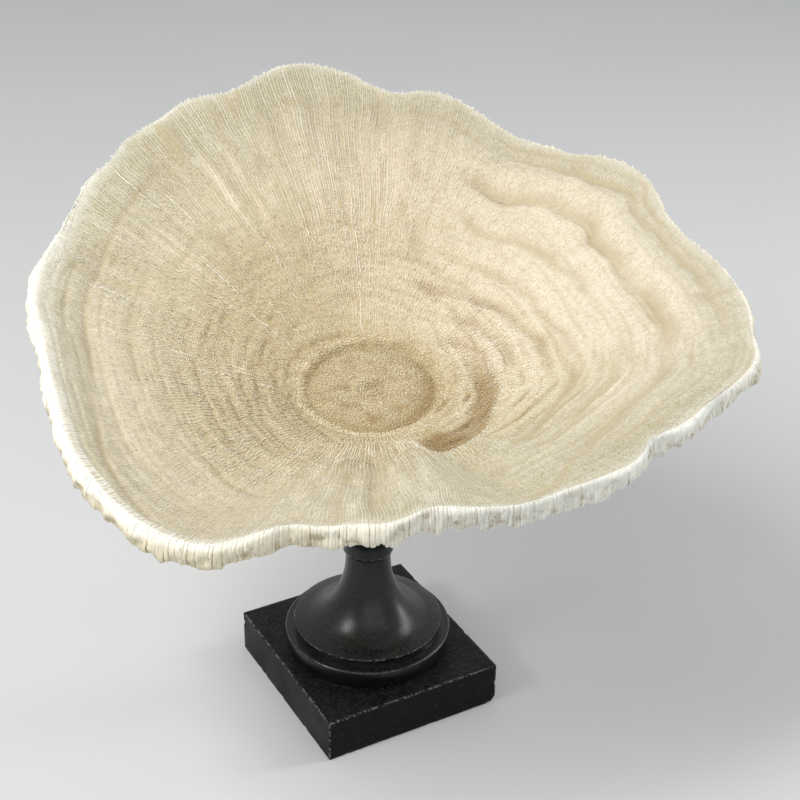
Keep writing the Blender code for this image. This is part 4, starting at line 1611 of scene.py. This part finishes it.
def dust_group() -> NodeTree:
    """Group that lays a thin film of dust on the faces that look up."""
    takes = (
        ("Vector", "Vector", None),
        ("Base", "Color", (0.0, 0.0, 0.0, 1.0)),
        ("Dust", "Color", (0.3, 0.3, 0.3, 1.0)),
        ("Amount", "Float", 0.2),
        ("Scale", "Float", 60.0),
    )
    tree, given, result = new_group("dust_film", takes, {"Color": "Color", "Mask": "Float"})
    vector, base, dust, amount, scale = given
    normal = tree.add("NewGeometry").outputs["Normal"]
    up = tree.add("SeparateXYZ", {0: normal}).outputs["Z"]
    patch = tree.span(tree.noise(vector, scale, 6.0), 0.35, 0.75)
    mask = tree.times(tree.span(up, 0.3, 0.95), patch, amount, clamp=True)
    tree.fill(result, {"Color": tree.blend(mask, base, dust), "Mask": mask})
    return tree.tree


def wear_and_highlight_group() -> NodeTree:
    """Group that breaks a mask of edges into patches of wear and painted highlight."""
    takes = (
        ("Vector", "Vector", None),
        ("Edge", "Float", 0.0),
        ("Amount", "Float", 0.5),
        ("Scale", "Float", 200.0),
    )
    tree, given, result = new_group("edge_wear_and_highlight", takes, {"Mask": "Float"})
    vector, edge, amount, scale = given
    patch = tree.span(tree.noise(vector, scale, 5.0), 0.42, 0.62)
    tree.fill(result, {"Mask": tree.times(edge, patch, amount, clamp=True)})
    return tree.tree


def new_material(name: str) -> tuple[Material, Tree, Node, NodeSocket]:
    """Starts a material and gives it with its tree, its shader and its Object coordinates."""
    made = bpy.data.materials.new(name)
    made.use_nodes = True
    tree = Tree(made.node_tree)
    return made, tree, made.node_tree.nodes["Principled BSDF"], tree.add("TexCoord").outputs["Object"]


@dataclass(frozen=True)
class CoralFinish:
    """Chalky coral: tan in the floor, and tan stains with painted shade in the hollows; cream up the wall,
    nearly white at the rim.

    Painted highlights whiten the tops of beads, blades, ribs and grains, and painted shade darkens their
    feet; a near-white tint paints light on the lit walls and a grey tint partly paints shade.
    """

    groups: dict[str, NodeTree]
    tones: tuple[tuple[float, Colour], ...] = (
        (-1.0, paint(213, 202, 175)), (-0.20, paint(205, 193, 164)), (-0.10, paint(226, 216, 189)),
        (0.00, paint(220, 210, 184)), (0.12, paint(230, 222, 199)), (0.28, paint(232, 226, 205)),
        (0.50, paint(229, 225, 207)), (0.76, paint(228, 225, 213)), (0.88, paint(225, 223, 212)),
        (0.955, paint(226, 224, 212)), (1.05, paint(240, 237, 227)), (1.45, paint(241, 237, 224)),
        (1.60, paint(238, 233, 217)), (1.75, paint(221, 213, 189)), (1.95, paint(214, 205, 178)),
        (2.3, paint(214, 204, 176)), (2.5, paint(228, 221, 200)),
        (3.3, paint(222, 212, 188)), (4.55, paint(208, 194, 165)),
    )
    # The first is the near-white of the painted light on the lit right and far walls, also on lighter rolls,
    # ridges and streaks; the grey is partly painted shade on the upper far-left wall.
    bleach_and_painted_light: Colour = paint(254, 248, 238)
    grey: Colour = paint(228, 231, 227)
    valley: Colour = paint(189, 177, 146)
    # Tan of the real stains in the rim's pockets, and also the colour of the painted shade in the hollows.
    stain_and_shade_tan: Colour = paint(150, 125, 83)
    olive: Colour = paint(180, 166, 134)
    white: Colour = paint(253, 252, 245)
    roughness: float = 0.82
    gloss: float = 0.25

    def build(self) -> Material:
        """Makes the material from the mesh's own masks and Object coordinates.

        Returns:
            The material.
        """
        made, tree, shader, place = new_material("coral_skeleton")
        names = ("along", "crest", "hollow", "light_and_shade_tint")
        along, crest, hollow, light_and_shade_tint = (
            tree.add("Attribute", attribute_name=name).outputs["Fac"] for name in names
        )
        wander = tree.noise(place, 28.0, 4.0)
        shift = tree.times(tree.maths("SUBTRACT", wander, 0.5), 0.30)
        inner = tree.span(along, 0.9, 1.0, 1.0, 0.0)
        colour = self.toned(tree, tree.maths("ADD", along, tree.times(shift, inner)))
        # The tint mask paints light as a near-white and shade as a pale grey.
        cool = tree.times(light_and_shade_tint, -0.75, clamp=True)
        colour = tree.blend(tree.times(light_and_shade_tint, 0.75, clamp=True), colour, self.bleach_and_painted_light)
        colour = tree.blend(cool, colour, self.grey)
        grain = tree.group(self.groups["fine_grain"], Vector=place, Scale=1150.0, Specks=0.60)
        # Painted shade: the multiply below darkens the feet of beads, blades, ribs and grains and the borders
        # of the grain's cells, deeper under the grey tint; blotch and fleck add mottled tone.
        low_side = tree.span(crest, 0.0, 0.75, 1.0, 0.0)
        inward = tree.span(along, 0.88, 1.0, 1.0, 0.30)
        deeper = tree.maths("MULTIPLY_ADD", cool, 0.55, 1.0)
        between = tree.span(grain.outputs["Height"], -0.1, 0.5, 0.95, 0.55)
        between = tree.times(low_side, between, inward, deeper, clamp=True)
        blotch = tree.times(tree.span(tree.noise(place, 110.0, 5.0), 0.45, 0.75, 0.0, 0.16), inward)
        fleck = tree.times(tree.span(tree.noise(place, 430.0, 3.0), 0.42, 0.70, 0.0, 0.20), inward)
        for shade in (between, blotch, fleck):
            colour = tree.blend(shade, colour, self.valley, "MULTIPLY")
        # Tan and olive for the stains and specks, and for the painted shade in the hollows.
        soil_and_painted_shade = tree.blend(tree.span(along, 0.32, 0.55), self.stain_and_shade_tan, self.olive)
        colour = tree.blend(tree.times(grain.outputs["Speck"], 0.15, low_side), colour, soil_and_painted_shade)
        held = tree.times(tree.span(wander, 0.25, 0.6, 0.65, 0.95), tree.span(crest, 0.2, 1.0, 1.0, 0.50))
        # Painted shade with tan stains in the grooves, seams, pits and step, held back on the crests.
        colour = tree.blend(tree.times(hollow, held), colour, soil_and_painted_shade)
        # Painted highlight: tops turn white, partly their own white, less in the hollows and down the outside
        # of the edge.
        unstained_unshaded = tree.times(tree.span(hollow, 0.1, 0.8, 1.0, 0.35), tree.span(along, 1.55, 1.85, 1.0, 0.4))
        bright = tree.times(tree.span(crest, 0.6, 1.3, 0.0, 0.55), unstained_unshaded)
        colour = tree.blend(bright, colour, self.white)
        on_edge = tree.times(tree.span(along, 1.6, 1.85), tree.span(along, 2.3, 2.5, 1.0, 0.0))
        between_ribs = tree.span(low_side, 0.0, 1.0, 0.24, 0.62)
        pocket = tree.times(tree.span(tree.noise(place, 175.0, 2.0), 0.50, 0.64), on_edge, between_ribs)
        inputs = {
            "Base Color": tree.blend(pocket, colour, self.stain_and_shade_tan),
            "Roughness": tree.span(wander, 0.2, 0.8, self.roughness - 0.08, self.roughness + 0.08),
            "Normal": tree.relief(grain.outputs["Height"], 0.25, 0.0004),
            "Specular IOR Level": self.gloss,
        }
        tree.fill(shader, inputs)
        return made

    def toned(self, tree: Tree, along: NodeSocket) -> NodeSocket:
        """Gives the tone at a way out, from a ramp."""
        low, high = self.tones[0][0], self.tones[-1][0]
        inputs = {"Value": along, "From Min": low, "From Max": high}
        ramp = tree.add("ValToRGB", {0: tree.add("MapRange", inputs).outputs[0]})
        elements = ramp.color_ramp.elements
        for number, (place, colour) in enumerate(self.tones):
            position = (place - low) / (high - low)
            if number in (0, len(self.tones) - 1):
                element = elements[0 if number == 0 else -1]
                element.position = position
            else:
                element = elements.new(position)
            element.color = colour
        return ramp.outputs[0]


@dataclass(frozen=True)
class BlackWoodFinish:
    """Ebonised wood: grain lines or lathe lines, pale edges that are partly worn and partly painted
    highlight, and a film of dust.
    """

    name: str
    groups: dict[str, NodeTree]
    stretch: Place
    edges: Callable[[Tree, NodeSocket], NodeSocket]
    roughness: float
    dust_amount: float
    wear_and_highlight_amount: float
    gloss: float
    base: Colour = paint(8, 9, 11)
    streak: Colour = paint(24, 24, 26)
    # Pale edge colour: partly rubbed wood, partly painted highlight.
    rubbed_and_highlight: Colour = paint(128, 130, 134)
    dust: Colour = paint(140, 143, 148)

    def build(self) -> Material:
        """Makes the material.

        Returns:
            The material, on Object coordinates.
        """
        made, tree, shader, place = new_material(self.name)
        grained = tree.add("Mapping", {"Vector": place, "Scale": self.stretch}).outputs[0]
        lines = tree.noise(grained, 130.0, 6.0)
        colour = tree.blend(tree.span(lines, 0.45, 0.75), self.base, self.streak)
        # Pale edges: partly rubbed wood, partly painted highlight along the bevels.
        worn = tree.group(
            self.groups["edge_wear_and_highlight"],
            Vector=place,
            Edge=self.edges(tree, place),
            Amount=self.wear_and_highlight_amount,
            Scale=650.0,
        )
        film = tree.group(
            self.groups["dust_film"],
            Vector=place,
            Base=tree.blend(worn.outputs["Mask"], colour, self.rubbed_and_highlight),
            Dust=self.dust,
            Amount=self.dust_amount,
            Scale=700.0,
        )
        grain = tree.group(self.groups["fine_grain"], Vector=place, Scale=1400.0, Specks=0.66)
        speck = tree.times(grain.outputs["Speck"], 0.09)
        smear = tree.noise(place, 55.0, 4.0)
        rough = tree.span(smear, 0.25, 0.75, self.roughness - 0.06, self.roughness + 0.08)
        height = tree.maths("ADD", tree.times(grain.outputs["Height"], 0.35), lines)
        inputs = {
            "Base Color": tree.blend(speck, film.outputs["Color"], self.dust),
            "Roughness": tree.maths("ADD", rough, tree.times(film.outputs["Mask"], 0.4), clamp=True),
            "Normal": tree.relief(height, 0.22, 0.0002),
            "Specular IOR Level": self.gloss,
        }
        tree.fill(shader, inputs)
        return made


def block_edges(size: Place) -> Callable:
    """Gives the builder of a mask that is 1 along the edges of a block.

    Args:
        size: The block's sides; its underside is at height 0.

    Returns:
        A function of the Tree and the place socket.
    """

    def build(tree: Tree, place: NodeSocket) -> NodeSocket:
        """Builds the mask from how many sides of the block are near."""
        axes = tree.add("SeparateXYZ", {0: place}).outputs
        shares = []
        for axis, full in enumerate(size):
            off = tree.maths("SUBTRACT", axes[axis], full / 2 if axis == 2 else 0.0)
            reach = tree.maths("ABSOLUTE", off)
            shares.append(tree.span(reach, full / 2 - 0.0013, full / 2 - 0.0003))
        pairs = [tree.times(shares[a], shares[b]) for a, b in ((0, 1), (1, 2), (0, 2))]
        return tree.maths("MAXIMUM", tree.maths("MAXIMUM", pairs[0], pairs[1]), pairs[2])

    return build


def ring_edges(rings: Sequence[Pair], width: float) -> Callable:
    """Gives the builder of a mask that is 1 along turned rings.

    Args:
        rings: Radius and height of each ring.
        width: How far the mask reaches from each.

    Returns:
        A function of the Tree and the place socket.
    """

    def build(tree: Tree, place: NodeSocket) -> NodeSocket:
        """Builds the mask from the distance to each ring."""
        axes = tree.add("SeparateXYZ", {0: place}).outputs
        flat = tree.add("CombineXYZ", {0: axes[0], 1: axes[1]}).outputs[0]
        radius = tree.add("VectorMath", {0: flat}, operation="LENGTH").outputs["Value"]
        found: NodeSocket | float = 0.0
        for ring_radius, height in rings:
            out = tree.maths("ABSOLUTE", tree.maths("SUBTRACT", radius, ring_radius))
            up = tree.maths("ABSOLUTE", tree.maths("SUBTRACT", axes[2], height))
            off = tree.maths("MAXIMUM", out, up)
            found = tree.maths("MAXIMUM", found, tree.span(off, 0.0, width, 1.0, 0.0))
        return found

    return build


@dataclass(frozen=True)
class SteelFinish:
    """Drawn steel with fine lines along the rod."""

    groups: dict[str, NodeTree]
    colour: Colour = paint(196, 197, 200)
    roughness: float = 0.32

    def build(self) -> Material:
        """Makes the material."""
        made, tree, shader, place = new_material("drawn_steel")
        drawn = tree.add("Mapping", {"Vector": place, "Scale": (6.0, 6.0, 0.3)}).outputs[0]
        lines = tree.noise(drawn, 300.0, 4.0)
        grain = tree.group(self.groups["fine_grain"], Vector=place, Scale=2500.0, Specks=0.7)
        inputs = {
            "Base Color": tree.blend(tree.span(lines, 0.3, 0.7), dimmed(self.colour, 0.8), self.colour),
            "Roughness": tree.span(lines, 0.2, 0.8, self.roughness, self.roughness + 0.12),
            "Normal": tree.relief(grain.outputs["Height"], 0.1, 0.0001),
            "Metallic": 1.0,
        }
        tree.fill(shader, inputs)
        return made


@dataclass(frozen=True)
class Lamp:
    """A soft lamp: where it stands, its width and height, its power in watts and its colour."""

    name: str
    place: Place
    wide: float
    high: float
    power: float
    tone: Colour

    def build(self, aim: Place) -> None:
        """Adds the lamp, and turns it towards a place."""
        light = bpy.data.lights.new(self.name, "AREA")
        light.shape = "RECTANGLE"
        light.size = self.wide
        light.size_y = self.high
        light.energy = self.power
        light.color = self.tone[:3]
        made = in_scene(self.name, light)
        made.location = self.place
        towards = Vector(aim) - Vector(self.place)
        made.rotation_euler = towards.to_track_quat("-Z", "Y").to_euler()


@dataclass(frozen=True)
class Studio:
    """The plain pale floor, the soft lamps, the pale surroundings and the camera."""

    floor_side: float = 12.0
    floor_drop: float = 0.0002
    floor_tone: Colour = paint(204, 206, 208)
    surround: Colour = paint(214, 216, 218)
    ambient: float = 0.49
    aim: Place = (0.0, 0.0, 0.20)
    camera_place: Place = (-0.32528, -0.60079, 0.55998)
    camera_turn: Place = (60.228, -0.975, -29.114)
    lens: float = 72.97
    sensor: float = 36.0
    lamps: tuple[Lamp, ...] = (
        Lamp("key_lamp", (-1.05, -0.10, 1.45), 0.5, 1.2, 25.5, paint(255, 253, 249)),
        Lamp("side_lamp", (1.28, -0.35, 0.80), 0.3, 1.3, 9.0, paint(255, 253, 250)),
        Lamp("front_lamp", (-0.4, -1.6, 1.0), 2.0, 1.6, 6.5, paint(252, 253, 255)),
    )

    def floor(self, groups: dict[str, NodeTree]) -> None:
        """Adds the floor with a faint paper grain, as stage."""
        start_fresh()
        bpy.ops.mesh.primitive_plane_add(size=self.floor_side, location=(0, 0, -self.floor_drop))
        made = bpy.context.object
        made.name = "studio_floor"
        finish, tree, shader, place = new_material("floor_paper")
        grain = tree.group(groups["fine_grain"], Vector=place, Scale=500.0, Specks=0.7)
        inputs = {
            "Base Color": tree.blend(tree.noise(place, 6.0), dimmed(self.floor_tone, 0.96), self.floor_tone),
            "Roughness": 0.9,
            "Normal": tree.relief(grain.outputs["Height"], 0.05, 0.0003),
            "Specular IOR Level": 0.2,
        }
        tree.fill(shader, inputs)
        made.data.materials.append(finish)
        made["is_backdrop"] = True

    def surroundings(self) -> None:
        """Lights the scene evenly, and shows a pale tone to the camera and in reflections."""
        scene = bpy.context.scene
        scene.world = scene.world or bpy.data.worlds.new("studio")
        scene.world.use_nodes = True
        scene.world.node_tree.nodes.clear()
        tree = Tree(scene.world.node_tree)
        seen = tree.add("LightPath").outputs
        shown = tree.maths("MAXIMUM", seen["Is Camera Ray"], seen["Is Glossy Ray"])
        shown = tree.maths("MAXIMUM", shown, seen["Is Transmission Ray"])
        light = tree.add("Background", {"Color": (1.0, 1.0, 1.0, 1.0), "Strength": self.ambient})
        pale = tree.add("Background", {"Color": self.surround, "Strength": 1.0})
        mixed = tree.add("MixShader", {0: shown, 1: light.outputs[0], 2: pale.outputs[0]})
        tree.add("OutputWorld", {"Surface": mixed.outputs[0]})

    def camera(self) -> None:
        """Adds the scene's camera."""
        data = bpy.data.cameras.new("camera")
        data.lens = self.lens
        data.sensor_width = self.sensor
        data.clip_start = 0.01
        data.clip_end = 50.0
        made = in_scene("camera", data)
        made.location = self.camera_place
        made.rotation_euler = [radians(angle) for angle in self.camera_turn]
        bpy.context.scene.camera = made

    def build(self, groups: dict[str, NodeTree]) -> None:
        """Sets the whole studio up."""
        bpy.context.scene.view_settings.view_transform = "Standard"
        self.camera()
        self.floor(groups)
        self.surroundings()
        for lamp in self.lamps:
            lamp.build(self.aim)


def write_sizes() -> None:
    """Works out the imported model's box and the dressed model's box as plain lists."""
    boxes = {"cad": CAD_BOUNDS, "visual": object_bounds()}
    plain = {name: [[float(x) for x in corner] for corner in box] for name, box in boxes.items()}


def build_coral(skeleton: Material) -> None:
    """Builds the coral's pieces."""
    skin = Skin()
    pieces = [CoralBody(skin).build(), FloorGrains(skin).build(), *Blades(skin).build()]
    for piece in (*pieces, EdgeRibs(skin).build(), UnderRibs(skin).build()):
        settle(piece, skeleton, Slot.CORAL, "coral")


def build_stand(groups: dict[str, NodeTree]) -> None:
    """Builds the socle and the plinth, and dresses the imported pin."""
    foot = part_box("socle")[0][2]
    socle = Socle(foot)
    rings = [(radius, foot + height) for radius, height in socle.worn_and_highlight_rings()]
    turned_wood = BlackWoodFinish(
        "turned_black_wood", groups, (0.6, 0.6, 12.0), ring_edges(rings, 0.0008), 0.28, 0.05, 0.70, 0.38
    )
    settle(socle.build(), turned_wood.build(), Slot.SOCLE, "socle")
    plinth = Plinth()
    edges = block_edges((plinth.width, plinth.depth, plinth.height))
    sawn_wood = BlackWoodFinish("sawn_black_wood", groups, (1.0, 9.0, 9.0), edges, 0.42, 0.06, 0.50, 0.12)
    settle(plinth.build(), sawn_wood.build(), Slot.PLINTH, "plinth")
    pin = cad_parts["pin"]
    pin.data.materials.clear()
    pin.data.materials.append(SteelFinish(groups).build())


def main() -> None:
    """Builds the studio, the coral and the stand in order."""
    groups = {"fine_grain": fine_grain_group(), "dust_film": dust_group(), "edge_wear_and_highlight": wear_and_highlight_group()}
    Studio().build(groups)
    build_coral(CoralFinish(groups).build())
    build_stand(groups)
    write_sizes()


if __name__ == "__main__":
    logging.basicConfig(level=logging.INFO, format="%(name)s: %(message)s")
    main()
